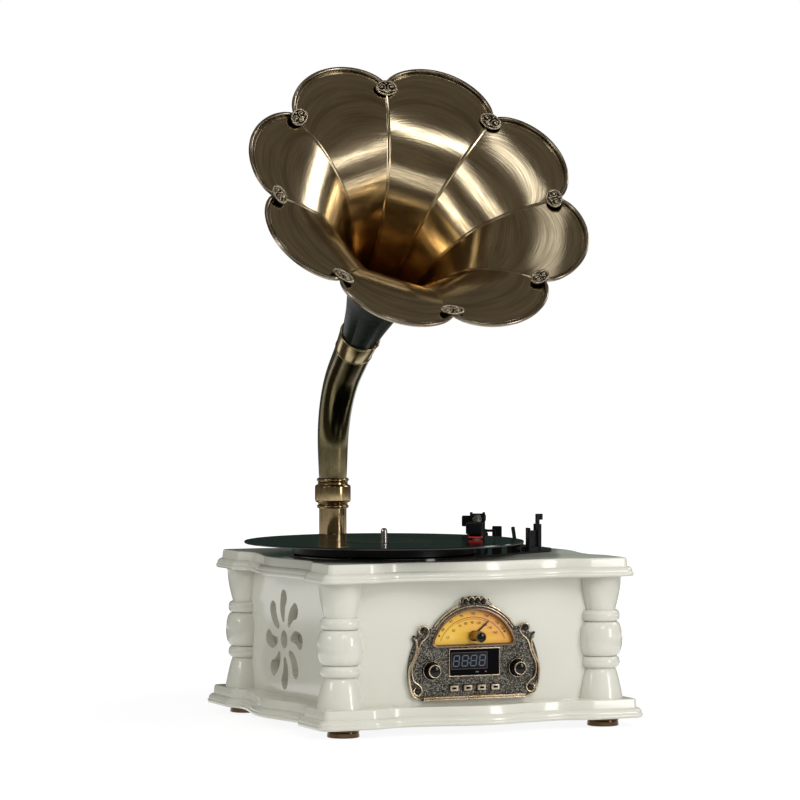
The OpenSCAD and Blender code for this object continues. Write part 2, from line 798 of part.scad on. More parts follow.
// Collar that turns on the pipe's end, with a bead at each end and a broad band between
module pipe_collar() {
    bead_r = pipe_r + 2.6;
    band_r = pipe_r + 4.7;
    waist_r = pipe_r + 1.4;
    profile = concat(
        [[pipe_r + running, collar_foot - 1.8]],
        [for (a = [-80:40:80]) [bead_r - 1.9 + 1.9 * cos(a), collar_foot + 1.9 * sin(a)]],
        [[waist_r, collar_foot + 2.6], [waist_r, collar_foot + 4.2], [band_r - 0.8, collar_foot + 5.2],
         [band_r, collar_foot + 6.6], [band_r, collar_top - 9.6], [band_r - 0.8, collar_top - 8.2],
         [waist_r, collar_top - 7.2], [waist_r, collar_top - 5.2]],
        [for (a = [-80:40:80]) [bead_r - 2.3 + 2.3 * cos(a), collar_top - 2.3 + 2.3 * sin(a)]],
        [[bore_r, collar_top], [bore_r, pipe_top + 0.2], [pipe_r + running, pipe_top + 0.2]]);
    color("darkgoldenrod") at_pipe() rotate_extrude() polygon(profile);
}

// The elbow's middle line, from above the collar to the bell, as [forward, height, lean] at part s
neck_run = bend_r * horn_lean * PI / 180;
elbow_run = riser_l + neck_run + neck_l;

function elbow_at(s) =
    let (l = s * elbow_run, a = max(0, min(horn_lean, (l - riser_l) / neck_run * horn_lean)),
         up = min(l, riser_l), out = max(0, l - riser_l - neck_run))
    [bend_r * (1 - cos(a)) + out * sin(a), collar_top + up + bend_r * sin(a) + out * cos(a), a];

function elbow_r(s) = pipe_r + (elbow_end_r - pipe_r) * pow(s, 0.8);

function elbow_ring(s, shrink) =
    let (c = elbow_at(s), r = elbow_r(s) - shrink)
    [for (i = [0:23]) let (t = 15 * i, o = r * sin(t))
        [r * cos(t), -c[0] - o * cos(c[2]), c[1] - o * sin(c[2])]];

elbow_steps = [0, 0.08, 0.16, 0.25, 0.34, 0.43, 0.52, 0.61, 0.7, 0.79, 0.88, 0.94, 1];

module horn_elbow() {
    n = len(elbow_steps);
    outer = [for (i = [0:n - 1]) elbow_ring(elbow_steps[i], 0)];
    inner = [for (i = [0:n - 1]) elbow_ring(elbow_steps[n - 1 - i], pipe_wall)];
    color("darkgoldenrod") at_pipe() rotate(horn_turn) loft(concat(outer, inner), true);
}

// The bell's own frame: Z runs along its axis to the mouth, from just past the elbow's end
mouth = elbow_at(1);
seat_t = 1.6;                        // the collar's shoulder, between the elbow's end and the bell's

module at_bell() {
    at_pipe() rotate(horn_turn) translate([0, -mouth[0], mouth[1]]) rotate([horn_lean, 0, 0])
        translate([0, 0, seat_t]) children();
}

// Sleeve between the elbow and the bell: a spigot in the elbow, a shoulder, and a tapered band that
// the bell stands in, with a small eye at its rim
sleeve_l = 26.8;
spigot_l = 8;

module horn_collar() {
    spigot_r = elbow_end_r - pipe_wall - 3 * fit;
    foot_r = elbow_end_r + 0.3;
    rim_r = elbow_end_r + 1.9;
    well_r = throat_r + bell_wall + 0.3;
    low = 0.1 - seat_t;
    color("goldenrod") at_bell() {
        rotate_extrude()
            polygon([[spigot_r - 1, low - spigot_l], [spigot_r, low - spigot_l], [spigot_r, low], [foot_r, low],
                     [foot_r + 0.4, low + 0.6], [foot_r + 0.4, low + 1.4], [foot_r, low + 2], [rim_r, sleeve_l - 2.8],
                     [rim_r + 0.5, sleeve_l - 2.2], [rim_r + 0.5, sleeve_l - 0.6], [rim_r, sleeve_l],
                     [rim_r - 0.8, sleeve_l], [well_r, 1.2], [well_r, -moving], [spigot_r - 1, -moving]]);
        rotate(eye_turn) translate([rim_r - 0.1, 0, sleeve_l + 1]) rotate([0, 90, 0]) linear_extrude(1.1) difference() {
            slab(eye_h, eye_w, eye_h / 2);
            slab(eye_h - 3, eye_w - 3, eye_h / 2 - 1.5);
        }
    }
}

eye_turn = -56;
eye_w = 11.4;
eye_h = 6.4;

// The flare in a plane through the bell's axis, from part 0 at the elbow to 1 at the notches
throat_r = elbow_end_r - pipe_wall - bell_wall - 0.1;

function flare_r(s) = throat_r + (notch_r - throat_r) * (pow(s, 1.5) + pow(s, 8)) / 2;

// Between two seams a panel keeps near the chord, more and more so as it leaves the round elbow
function panel_r(s, u) =
    let (half = 180 / petals, flat = panel_flat * min(1, 3 * s))
    flare_r(s) * (1 - flat + flat * cos(half) / cos((2 * u - 1) * half));

// From here on a panel runs out to its petal's free edge, on an arc that turns outwards
lip_from = 0.88;

function lobe(u) = pow(max(0, sin(180 * u)), 0.55);

function arc_to(p, ahead, q, w) =
    let (run = norm(q - p), chord = (q - p) / run, end = 2 * (chord * ahead) * chord - ahead)
    (2 * w - 3) * w * w * (p - q) + p + run * w * ((1 - w) * (1 - w) * ahead - w * (1 - w) * end);

function panel(s, u) =
    s <= lip_from ? [panel_r(s, u), bell_l * s]
    : let (start = panel(lip_from, u), slope = start - panel(lip_from - 0.01, u),
           edge = [notch_r + petal_reach * lobe(u), bell_l + petal_forward * lobe(u)])
      arc_to(start, slope / norm(slope), edge, (s - lip_from) / (1 - lip_from));

// A point of the bell at part s, u of the way across petal k, out from the inner face
function bell_point(s, k, u, out) =
    let (d = panel(min(1, s + 0.005), u) - panel(max(0, s - 0.005), u), n = [d[1], -d[0]] / norm(d),
         f = panel(s, u), r = f[0] + out * n[0], t = 360 * (k + u) / petals - 90)
    [r * cos(t), r * sin(t), f[1] + out * n[1]];

flare_steps = [0, 0.05, 0.11, 0.2, 0.32, 0.44, 0.55, 0.65, 0.74, 0.82, lip_from, 0.92, 0.96, 1];
across = [0, 0.04, 0.16, 0.32, 0.5, 0.68, 0.84, 0.96];
rib = 1.1;

function bell_ring(s, out, ribbed) =
    [for (k = [0:petals - 1], i = [0:len(across) - 1])
        bell_point(s, k, across[i], out - ((ribbed && i == 0 && s > 0.1 && s < 0.99) ? rib : 0))];

module horn_bell() {
    n = len(flare_steps);
    inner = [for (s = flare_steps) bell_ring(s, 0, true)];
    outer = [for (i = [1:n]) bell_ring(flare_steps[n - i], bell_wall, false)];
    color("goldenrod") at_bell() loft(concat(inner, outer), true);
}

// The rolled bead round the rim, a tube along the petals' edges
bead_r = 1.9;
bead_gap = 0.3;                      // between the bell and the bead, and between the bead and the badges
bead_across = [0, 0.02, 0.08, 0.18, 0.34, 0.5, 0.66, 0.82, 0.92, 0.98];

function bead_path() = [for (k = [0:petals - 1], u = bead_across) bell_point(1, k, u, -bead_r - bead_gap)];

function bead_ring(p, i) =
    let (n = len(p), d = p[(i + 1) % n] - p[(i + n - 1) % n], t = d / norm(d),
         a = cross(t, [0, 0, 1]), side = a / norm(a), up = cross(side, t))
    [for (j = [0:5]) p[i] + bead_r * (cos(60 * j) * side + sin(60 * j) * up)];

module horn_rim() {
    p = bead_path();
    color("goldenrod") at_bell() loft([for (i = [0:len(p) - 1]) bead_ring(p, i)], true);
}

// A cast ornament over each notch: a cartouche with two scrolls and a berry
badge_t = 1.6;
module badge() {
    color("darkgoldenrod") {
        linear_extrude(badge_t) {
            rounded([[-6.5, 1, 4.6], [6.5, 1, 4.6]]);
            translate([0, -5]) circle(3.6);
        }
        for (s = [-1, 1]) translate([s * 5.4, 1, badge_t]) difference() {
            cylinder(r = 4.4, h = 1.3);
            translate([0, 0, -1]) cylinder(r = 3.1, h = 4);
        }
        for (s = [-1, 1]) translate([s * 5.4, 1, badge_t]) cylinder(r = 1.5, h = 1.5);
        translate([0, -5, badge_t - 0.6]) sphere(2.4);
        translate([0, 4.6, badge_t]) cylinder(r = 1.4, h = 1.2);
    }
}

module horn_badges() {
    edge = panel(1, 0) - panel(0.98, 0);
    slope = atan2(edge[1], edge[0]);
    at_bell() for (k = [0:petals - 1])
        rotate(360 * k / petals) translate([0, -notch_r, bell_l]) rotate([-slope, 0, 0])
            translate([0, 5.5, 2 * (bead_r + bead_gap) + 0.2]) rotate(180) badge();
}

// Radio panel. Flat shapes here are drawn with X across and Y up from the base board's top

plate_far = face_y + face_t;
button_z = 16.6;
border_t = 1.6;

function bezier(p, n) =
    [for (i = [0:n]) let (t = i / n, u = 1 - t)
        u * u * u * p[0] + 3 * u * u * t * p[1] + 3 * u * t * t * p[2] + t * t * t * p[3]];

function side_curve(inset) =
    let (w = face_half_w - inset)
    bezier([[w - 8, face_z + 6], [w + 3.5, face_z + 22], [w + 2, face_z + 42], [w - 7, face_z + 61]], 12);

function mirrored(p) = [for (i = [0:len(p) - 1]) [-p[len(p) - 1 - i][0], p[len(p) - 1 - i][1]]];

function ribbon(p, w) =
    let (n = len(p), side = [for (i = [0:n - 1])
        let (d = p[min(n - 1, i + 1)] - p[max(0, i - 1)]) [d[1], -d[0]] / norm(d)])
    concat([for (i = [0:n - 1]) p[i] + w / 2 * side[i]], [for (i = [0:n - 1]) p[n - 1 - i] - w / 2 * side[n - 1 - i]]);

upper_scroll = [58.5, arch_z + 27.4, 5.4];
lower_scroll = [face_half_w - 10, face_z + 9.6, 5.4];
ear_leaf = [face_half_w - 8.6, face_z + 65.4, 3.5];

module face_outline() {
    curve = side_curve(0);
    polygon(concat([[-face_half_w + 17, face_z], [face_half_w - 17, face_z]], curve,
                   [[upper_scroll[0] + 3, upper_scroll[1] + 3], [arch_r - 10, arch_z + 30]],
                   [[-arch_r + 10, arch_z + 30], [-upper_scroll[0] - 3, upper_scroll[1] + 3]],
                   mirrored(curve)));
    intersection() {
        translate([0, arch_z]) circle(arch_r);
        translate([-arch_r, arch_z]) square([2 * arch_r, arch_r]);
    }
    for (s = [-1, 1], c = [upper_scroll, lower_scroll, ear_leaf]) translate([s * c[0], c[1]]) circle(c[2]);
    for (i = [-1.5:1:1.5]) translate([0, arch_z]) rotate(-i * 6.6) translate([0, arch_r + 3.6]) circle(3.5);
    rounded([[-13.6, arch_z + arch_r - 3, 2.4], [13.6, arch_z + arch_r - 3, 2.4], [0, arch_z + arch_r + 2.5, 2.4]]);
}

// The dial's half moon, with rounded corners
dial_corner = 3;

module dial_opening(grow = 0) {
    r = dial_r + grow;
    side = sqrt(pow(dial_r, 2) - pow(dial_chord, 2)) - 0.5 + grow;
    translate([0, arch_z]) intersection() {
        circle(r);
        translate([0, dial_chord - grow + r]) slab(2 * side, 2 * r, dial_corner + grow);
    }
}

module ring(r, w) {
    difference() {
        circle(r);
        circle(r - w);
    }
}

// The raised lines of the casting
module face_lines() {
    for (s = [0, 1]) mirror([s, 0]) {
        polygon(ribbon(side_curve(1.2), 1.6));
        polygon(ribbon(side_curve(5.2), 1.2));
        for (c = [upper_scroll, lower_scroll]) translate([c[0], c[1]]) ring(c[2], 1.3);
    }
    intersection() {
        translate([0, arch_z]) {
            ring(arch_r, 1.6);
            ring(arch_r - 3.2, 1);
        }
        translate([-100, arch_z + 26]) square([200, 60]);
    }
    translate([-face_half_w + 18, face_z]) square([2 * face_half_w - 36, 2.6]);
}

module face_openings() {
    dial_opening();
    translate([0, display_z]) square([display_w + 2 * fit, display_h + 2 * fit], center = true);
    for (i = [-1.5:1:1.5]) translate([i * button_pitch, button_z])
        square([button_w + 2 * moving, button_h + 2 * moving], center = true);
    for (s = [-1, 1]) translate([s * knob_x, knob_z]) circle(shaft_r + moving);
}

shaft_r = 3;

module faceplate() {
    color("dimgray") translate([0, 0, column_z]) {
        on_front(face_y, plate_far) difference() {
            face_outline();
            face_openings();
        }
        on_front(plate_far - 0.1, plate_far + border_t) difference() {
            face_lines();
            face_openings();
        }
        on_front(plate_far - 0.1, plate_far + 1) difference() {
            dial_opening(2.6);
            dial_opening();
            translate([0, display_z]) square([display_w + 8, display_h + 7], center = true);
        }
        for (s = [-1, 1], c = [upper_scroll, lower_scroll]) translate([s * c[0], -plate_far + 0.4, c[1]]) sphere(2.3);
        for (i = [-1.5:1:1.5]) translate([0, -plate_far + 0.6, arch_z]) rotate([0, i * 6.6, 0])
            translate([0, 0, arch_r + 3.8]) sphere(2.3);
    }
}

dial_t = 1.8;
module dial_plate() {
    color("orange") translate([0, 0, column_z]) on_front(face_y - dial_t, face_y) difference() {
        dial_opening(2.4);
        translate([0, arch_z + tuning_z]) circle(shaft_r + moving);
    }
}

module display_bezel() {
    color("goldenrod") translate([0, 0, column_z]) on_front(plate_far, plate_far + 2) translate([0, display_z]) difference() {
        square([display_w + 4, display_h + 4], center = true);
        square([display_w - 0.6, display_h - 0.6], center = true);
    }
}

module display_window() {
    color("black") translate([0, 0, column_z]) on_front(face_y - 4, plate_far) translate([0, display_z])
        square([display_w, display_h], center = true);
}

module knob_grip(r, l, n) {
    difference() {
        rotate_extrude() polygon([[0, 0], [r, 0], [r, l - 1.4], [r - 1.4, l], [r - 2.4, l - 0.5], [0, l - 0.8]]);
        for (i = [0:n - 1]) rotate(360 * i / n) translate([r + 0.35, 0, 2]) cylinder(r = 0.7, h = l);
    }
}

pot_front = face_y - panel_t - 8.2;  // front face of the controls behind the circuit board
pot_l = 9;

module at_face(x, z, out) {
    translate([x, -out, column_z + z]) rotate([90, 0, 0]) children();
}

module side_knob(side) {
    color("black") at_face(side * knob_x, knob_z, plate_far + moving) {
        rotate_extrude() polygon([[0, 0], [skirt_r, 0], [skirt_r, 1.6], [skirt_r - 1, 2.6], [skirt_r - 2, 2.2], [0, 2.2]]);
        translate([0, 0, 1]) knob_grip(knob_r, knob_l, 18);
        translate([0, 0, -(plate_far + moving - pot_front + pot_l - 2)])
            cylinder(r = shaft_r, h = plate_far + moving - pot_front + pot_l);
    }
}

module tuning_knob() {
    gap = 2.6;                       // the pointer turns behind the knob
    color("black") at_face(0, arch_z + tuning_z, face_y + gap) {
        knob_grip(tuning_r, tuning_l, 16);
        translate([0, 0, -(face_y + gap - pot_front + pot_l - 2)])
            cylinder(r = shaft_r, h = face_y + gap - pot_front + pot_l);
    }
}

pointer_l = 23;
module dial_pointer() {
    color("black") at_face(0, arch_z + tuning_z, face_y + 0.9) rotate(-pointer_turn) difference() {
        linear_extrude(1) {
            circle(5);
            polygon([[-1.3, 0], [1.3, 0], [0.5, pointer_l], [-0.5, pointer_l]]);
        }
        translate([0, 0, -1]) cylinder(r = shaft_r + 0.02, h = 3);
    }
}

board_near = face_y - panel_t - 8;
board_far = board_near + 1.6;
stem_gap = button_travel + 0.4;

module button(i) {
    x = (i - 2.5) * button_pitch;
    color("khaki") translate([0, 0, column_z]) {
        on_front(face_y - 2, plate_far + 2.6) translate([x, button_z]) square([button_w, button_h], center = true);
        on_front(plate_far + 2.6, plate_far + 3) translate([x, button_z]) square([button_w - 1, button_h - 1], center = true);
        on_front(board_far + 2 + stem_gap, face_y - 2) translate([x, button_z]) square([4, 3.6], center = true);
    }
}

module circuit_board() {
    w = 2 * window_half_w + 12;
    post_r = 3;
    color("darkgreen") translate([0, 0, column_z]) {
        on_front(board_near, board_far) difference() {
            translate([-w / 2, 6]) square([w, 92]);
            for (s = [-1, 1]) translate([s * knob_x, knob_z]) circle(shaft_r + moving);
            translate([0, arch_z + tuning_z]) circle(shaft_r + moving);
        }
        for (i = [-1.5:1:1.5]) on_front(board_far, board_far + 2) translate([i * button_pitch, button_z])
            square([6, 6], center = true);
        for (x = [-1, 1], z = [10, 94]) on_front(board_far, face_y - panel_t) translate([x * (w / 2 - 3.4), z])
            circle(post_r);
    }
}

module control(x) {
    at_face(x, knob_z, pot_front - pot_l) difference() {
        cylinder(r = 8.5, h = pot_l);
        translate([0, 0, 1]) cylinder(r = shaft_r + running, h = pot_l);
    }
}

module controls() {
    color("silver") {
        tuning_capacitor();
        control(-knob_x);
        control(knob_x);
    }
}

module tuning_capacitor() {
    at_face(0, arch_z + tuning_z, pot_front - pot_l) difference() {
        linear_extrude(pot_l) slab(20, 20, 2);
        translate([0, 0, 1]) cylinder(r = shaft_r + running, h = pot_l);
    }
}

base_board();
top_board();
column(-1, -1);  // front_left_column
column(1, -1);  // front_right_column
column(-1, 1);  // rear_left_column
column(1, 1);  // rear_right_column
feet();
front_panel();
side_panel(-1);  // left_panel
side_panel(1);  // right_panel
rear_panel();
rear_sockets();
grille_cloth(-1);  // left_cloth
grille_cloth(1);  // right_cloth
speaker(-1);  // left_speaker
speaker(1);  // right_speaker
deck_plate();
bearing();
spindle();
platter();
mat();
record();
drive_motor();
motor_pulley();
drive_belt();
arm_base();
arm_yoke();
arm_tube();
counterweight();
headshell();
cartridge();
stylus();
arm_rest();
rest_clip();
cue_block();
cue_lever();
speed_switch();
horn_socket();
horn_pipe();
pipe_collar();
horn_elbow();
horn_collar();
horn_bell();
horn_rim();
horn_badges();
faceplate();
dial_plate();
dial_pointer();
tuning_knob();
display_bezel();
display_window();
side_knob(-1);  // left_knob
side_knob(1);  // right_knob
button(1);  // button_1
button(2);  // button_2
button(3);  // button_3
button(4);  // button_4
circuit_board();
controls();
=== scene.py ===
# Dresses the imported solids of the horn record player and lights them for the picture. Lengths are in metres.
import json
import math

import bmesh
import bpy
import numpy as np
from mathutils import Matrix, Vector

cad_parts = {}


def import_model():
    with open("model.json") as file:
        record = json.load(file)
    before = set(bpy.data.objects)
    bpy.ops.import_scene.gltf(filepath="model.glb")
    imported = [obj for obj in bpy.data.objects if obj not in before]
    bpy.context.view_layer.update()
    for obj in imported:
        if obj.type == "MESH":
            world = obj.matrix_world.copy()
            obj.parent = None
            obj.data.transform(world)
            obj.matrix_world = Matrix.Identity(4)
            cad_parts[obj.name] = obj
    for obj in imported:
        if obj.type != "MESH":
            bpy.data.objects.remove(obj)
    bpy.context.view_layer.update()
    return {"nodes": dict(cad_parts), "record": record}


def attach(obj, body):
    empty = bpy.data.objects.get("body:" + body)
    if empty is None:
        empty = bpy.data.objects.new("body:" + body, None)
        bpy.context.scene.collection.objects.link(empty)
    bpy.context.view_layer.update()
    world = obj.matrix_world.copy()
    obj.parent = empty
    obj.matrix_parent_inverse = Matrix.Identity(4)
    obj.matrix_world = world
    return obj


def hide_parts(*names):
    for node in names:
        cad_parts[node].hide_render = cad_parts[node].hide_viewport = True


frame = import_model()
nodes = frame["nodes"]
bodyOf = {node: body for body, members in frame["record"]["behaviour"]["bodies"].items() for node in members}
slotOf = {part["node"]: part["material_slot"] for part in frame["record"]["subparts"]}
mm = 0.001
print("frame loaded:", len(nodes), "nodes")


# A shader value. Sums and products of wires add their own Math nodes.
class Wire:
    def __init__(self, tree, socket):
        self.tree = tree
        self.socket = socket

    def joined(self, operation, first, second):
        node = self.tree.nodes.new("ShaderNodeMath")
        node.operation = operation
        for index, value in enumerate((first, second)):
            if isinstance(value, Wire):
                self.tree.links.new(value.socket, node.inputs[index])
            else:
                node.inputs[index].default_value = value
        return Wire(self.tree, node.outputs[0])

    def __add__(self, other):
        return self.joined("ADD", self, other)

    def __radd__(self, other):
        return self.joined("ADD", other, self)

    def __mul__(self, other):
        return self.joined("MULTIPLY", self, other)

    def __rmul__(self, other):
        return self.joined("MULTIPLY", other, self)

    # Another output of the node that this value comes from.
    def other(self, output):
        return Wire(self.tree, self.socket.node.outputs[output])


# A tree of shader nodes, for a finish or for the world.
class Graph:
    def __init__(self, tree):
        self.tree = tree

    # Adds a node of that type: its settings first, then the values or wires of its sockets.
    def node(self, kind, settings=None, sockets=None, output=0):
        made = self.tree.nodes.new(kind)
        for name, value in (settings or {}).items():
            if name == "stops":
                ramp = made.color_ramp.elements
                while len(ramp) < len(value):
                    ramp.new(0.5)
                for stop, (place, tint) in zip(ramp, value):
                    stop.position = place
                    stop.color = (*tint, 1)
            else:
                setattr(made, name, value)
        for name, value in (sockets or {}).items():
            socket = made.inputs[name]
            if isinstance(value, Wire):
                self.tree.links.new(value.socket, socket)
            else:
                socket.default_value = value
        return Wire(self.tree, made.outputs[output])

    # The first colour where the factor is 0, the second where it is 1, and their mean between.
    def blended(self, factor, first, second):
        first, second = (color if isinstance(color, Wire) else (*color, 1) for color in (first, second))
        return self.node("ShaderNodeMix", {"data_type": "RGBA"}, {0: factor, 6: first, 7: second}, 2)

    # 1 where the camera sees the surface, straight or in metal or glass, and 0 where it only gives light.
    def seenRays(self):
        seen = self.node("ShaderNodeLightPath", output="Is Camera Ray")
        return seen + seen.other("Is Glossy Ray") + seen.other("Is Transmission Ray")


# One material: a Principled shader with fixed sockets, and nodes for all that varies over the surface.
class Finish(Graph):
    def __init__(self, name, color, **fixed):
        self.material = bpy.data.materials.new(name)
        self.material.use_nodes = True
        super().__init__(self.material.node_tree)
        self.shader = self.tree.nodes["Principled BSDF"]
        self.shader.inputs["Base Color"].default_value = (*color, 1)
        for socket, value in fixed.items():
            self.shader.inputs[socket.replace("_", " ")].default_value = value

    # Lets a wire lead a socket of the shader.
    def drive(self, socket, wire):
        self.tree.links.new(wire.socket, self.shader.inputs[socket])

    def place(self):
        return self.node("ShaderNodeTexCoord", output="Object")

    # A coordinate stretched by three factors, so that noise on it becomes streaks or fine grain.
    def stretched(self, vector, factors):
        return self.node("ShaderNodeMapping", sockets={"Vector": vector, "Scale": factors})

    def noise(self, vector, scale, detail=3, roughness=0.5):
        sockets = {"Vector": vector, "Scale": scale, "Detail": detail, "Roughness": roughness}
        return self.node("ShaderNodeTexNoise", sockets=sockets, output="Fac")

    # Maps low..high to start..end, held at the ends.
    def fitted(self, value, low, high, start, end):
        sockets = {"Value": value, "From Min": low, "From Max": high, "To Min": start, "To Max": end}
        return self.node("ShaderNodeMapRange", {"clamp": True}, sockets, "Result")

    def ramp(self, value, stops):
        return self.node("ShaderNodeValToRGB", {"stops": stops}, {"Fac": value}, "Color")

    def bump(self, height, depth, strength=1.0):
        sockets = {"Height": height, "Distance": depth, "Strength": strength}
        self.drive("Normal", self.node("ShaderNodeBump", sockets=sockets))


# Puts a new object with that data into the scene.
def linked(name, data):
    made = bpy.data.objects.new(name, data)
    bpy.context.scene.collection.objects.link(made)
    return made


# Stands a lamp or the camera at a place, facing the way ahead.
def aimed(made, place, ahead):
    made.location = place
    made.rotation_mode = "QUATERNION"
    made.rotation_quaternion = ahead.to_track_quat("-Z", "Y")


# A patch is a grid of points with a face between each four neighbours, (i, j), (i, j+1), (i+1, j+1) and
# (i+1, j). The UV map holds each corner's share of the way across and along.
def patch(points, slotIndex=0, flip=False):
    points = np.asarray(points, float)
    rows, cols = points.shape[:2]
    i, j = np.meshgrid(np.arange(rows - 1), np.arange(cols - 1), indexing="ij")
    around = [np.stack([i + di, j + dj], -1) for di, dj in ((0, 0), (0, 1), (1, 1), (1, 0))]
    corners = np.stack(around, 2).reshape(-1, 4, 2)
    if flip:
        corners = corners[:, ::-1]
    faces = corners[..., 0] * cols + corners[..., 1]
    uv = corners[..., ::-1] / np.array([cols - 1, rows - 1])
    return {"points": points.reshape(-1, 3), "faces": faces, "uv": uv, "slot": slotIndex}


# Joins meshes into the target: merges points closer than the gap, drops faces without area, turns the rest
# outwards, and shades smooth all edges that turn by less than the crease.
def cleaned(meshes, target, gap, crease, outward=True):
    work = bmesh.new()
    for mesh in meshes:
        work.from_mesh(mesh)
    bmesh.ops.remove_doubles(work, verts=work.verts, dist=gap)
    bmesh.ops.dissolve_degenerate(work, edges=work.edges, dist=1e-7)
    if outward:
        bmesh.ops.recalc_face_normals(work, faces=work.faces)
    work.to_mesh(target)
    work.free()
    target.polygons.foreach_set("use_smooth", np.ones(len(target.polygons), bool))
    target.set_sharp_from_angle(angle=math.radians(crease))
    return target


# One mesh of patches: their points in a row, and each patch's faces counted on from the points before it.
def solid(patches, crease=35, outward=True):
    counts = np.cumsum([0] + [len(p["points"]) for p in patches])
    points = np.concatenate([p["points"] for p in patches])
    faces = np.concatenate([p["faces"] + start for p, start in zip(patches, counts)])
    uv = np.concatenate([p["uv"] for p in patches])
    slots = np.concatenate([np.full(len(p["faces"]), p["slot"]) for p in patches])
    mesh = bpy.data.meshes.new("solid")
    mesh.from_pydata(points.tolist(), [], faces.tolist())
    mesh.uv_layers.new(name="surface").data.foreach_set("uv", uv.reshape(-1).astype(np.float32))
    mesh.polygons.foreach_set("material_index", slots.astype(np.int32))
    return cleaned([mesh], mesh, 2e-6, crease, outward)


# One mesh of flat plates and words, all in one finish.
def joined(meshes):
    made = cleaned(meshes, bpy.data.meshes.new("joined"), 1e-6, 40)
    made.polygons.foreach_set("material_index", np.zeros(len(made.polygons), np.int32))
    return made


# The mesh's points as one array, a row for each.
def meshPoints(mesh):
    points = np.empty(len(mesh.vertices) * 3, np.float32)
    mesh.vertices.foreach_get("co", points)
    return points.reshape(-1, 3)


# Makes the mesh a piece of the object, on the body of the node that it replaces or stands on.
def piece(name, mesh, finishes, replaced=(), on=None):
    mesh.name = name
    for finish in finishes:
        mesh.materials.append(finish.material)
    made = linked(name, mesh)
    node = on or replaced[0]
    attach(made, bodyOf[node])
    if replaced:
        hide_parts(*replaced)


# Flat points turned by an angle: x cos - y sin and x sin + y cos.
def spun(x, y, angle):
    c, s = math.cos(angle), math.sin(angle)
    return x * c - y * s, x * s + y * c


# Points on an arc: the centre plus the radius times (cos, sin) of angles in degrees. An oval has two radii.
def arc(center, radius, start, end, count=40):
    turn = np.radians(np.linspace(start, end, count))
    return np.stack([np.cos(turn), np.sin(turn)], -1) * radius + np.asarray(center)


# A quadratic curve drawn towards a corner: (1-t)^2, 2t(1-t) and t^2 of the start, the corner and the end.
def bent(start, corner, end, count):
    t = np.linspace(0, 1, count)[:, None]
    return (1 - t) ** 2 * start + 2 * t * (1 - t) * corner + t ** 2 * end


# A turned solid: each profile point [radius, height] is carried round the Z axis.
def turned(profile, steps=128, place=(0, 0, 0)):
    profile = np.asarray(profile, float)
    turn = np.linspace(0, 2 * math.pi, steps + 1)
    ring = np.stack([np.cos(turn), np.sin(turn), np.zeros_like(turn)], -1)
    points = profile[:, None, :1] * ring[None] + np.array([0, 0, 1.0]) * profile[:, None, 1:]
    return points + np.array(place)


# Rounds a polyline: each inner corner becomes a quadratic curve between points a radius away from it.
def rounded(points, radius, steps=4):
    points = np.asarray(points, float)
    path = [points[0]]
    for before, corner, after in zip(points[:-2], points[1:-1], points[2:]):
        back, ahead = np.linalg.norm(before - corner), np.linalg.norm(after - corner)
        cut = min(radius, back * 0.45, ahead * 0.45)
        start, end = corner + (before - corner) / back * cut, corner + (after - corner) / ahead * cut
        path.extend(bent(start, corner, end, steps + 1))
    return np.array(path + [points[-1]])


# A tube along a path: a circle of the given radius at each point, in the plane across the path. It starts
# square to the side given, and squeeze makes it an oval. An open tube's ends close at their middles.
def tube(path, radius, sides=12, closed=False, side=(0, 0, 1), squeeze=1.0):
    path = np.asarray(path, float)
    radius = np.broadcast_to(np.asarray(radius, float), len(path))
    ahead = np.roll(path, -1, 0) - np.roll(path, 1, 0) if closed else np.gradient(path, axis=0)
    ahead /= np.linalg.norm(ahead, axis=1)[:, None]
    first = np.cross(ahead, np.broadcast_to(np.asarray(side, float), path.shape))
    first /= np.linalg.norm(first, axis=1)[:, None]
    second = np.cross(first, ahead)
    turn = np.linspace(0, 2 * math.pi, sides + 1)[None, :, None]
    ring = first[:, None] * np.cos(turn) + squeeze * second[:, None] * np.sin(turn)
    points = path[:, None] + radius[:, None, None] * ring
    if closed:
        return np.concatenate([points, points[:1]])
    starts, ends = (np.repeat(path[k:][:1, None], sides + 1, 1) for k in (0, -1))
    return np.concatenate([starts, points, ends])


# Sizes that several pieces share, as in the part's source, in millimetres.
cabinet = {"halfX": 150.5, "halfY": 134.5, "footH": 9.5, "board": 20.0, "columnH": 131.0, "faceY": 136.5,
           "panel": 9.0, "baseHalf": (187.5, 174.5), "topHalf": (180.0, 167.0)}
deck = {"plate": 2.0, "gap": 0.8, "platter": 9.2, "mat": 2.4, "record": 2.1}
columnZ = cabinet["footH"] + cabinet["board"]
topZ = columnZ + cabinet["columnH"]
deckZ = topZ + cabinet["board"]
recordTop = deckZ + sum(deck.values())
spindle = (-56.5, -30.0)
pipe = (-47.0, 139.0)


# Finishes

# Cream lacquer: slow waves and fine orange peel under a clear coat, in two near tones.
def lacquer():
    made = Finish("creamLacquer", (0.72, 0.705, 0.61), Roughness=0.42, Coat_Weight=1.0, Coat_Roughness=0.11)
    place = made.place()
    waves = made.noise(place, 26, 2) * 0.7 + made.noise(place, 260, 3) * 0.05
    made.bump(waves, 0.0008, 0.3)
    cloud = made.fitted(made.noise(place, 9, 4), 0.3, 0.7, 0, 1)
    made.drive("Base Color", made.blended(cloud, (0.71, 0.695, 0.60), (0.75, 0.74, 0.65)))
    return made


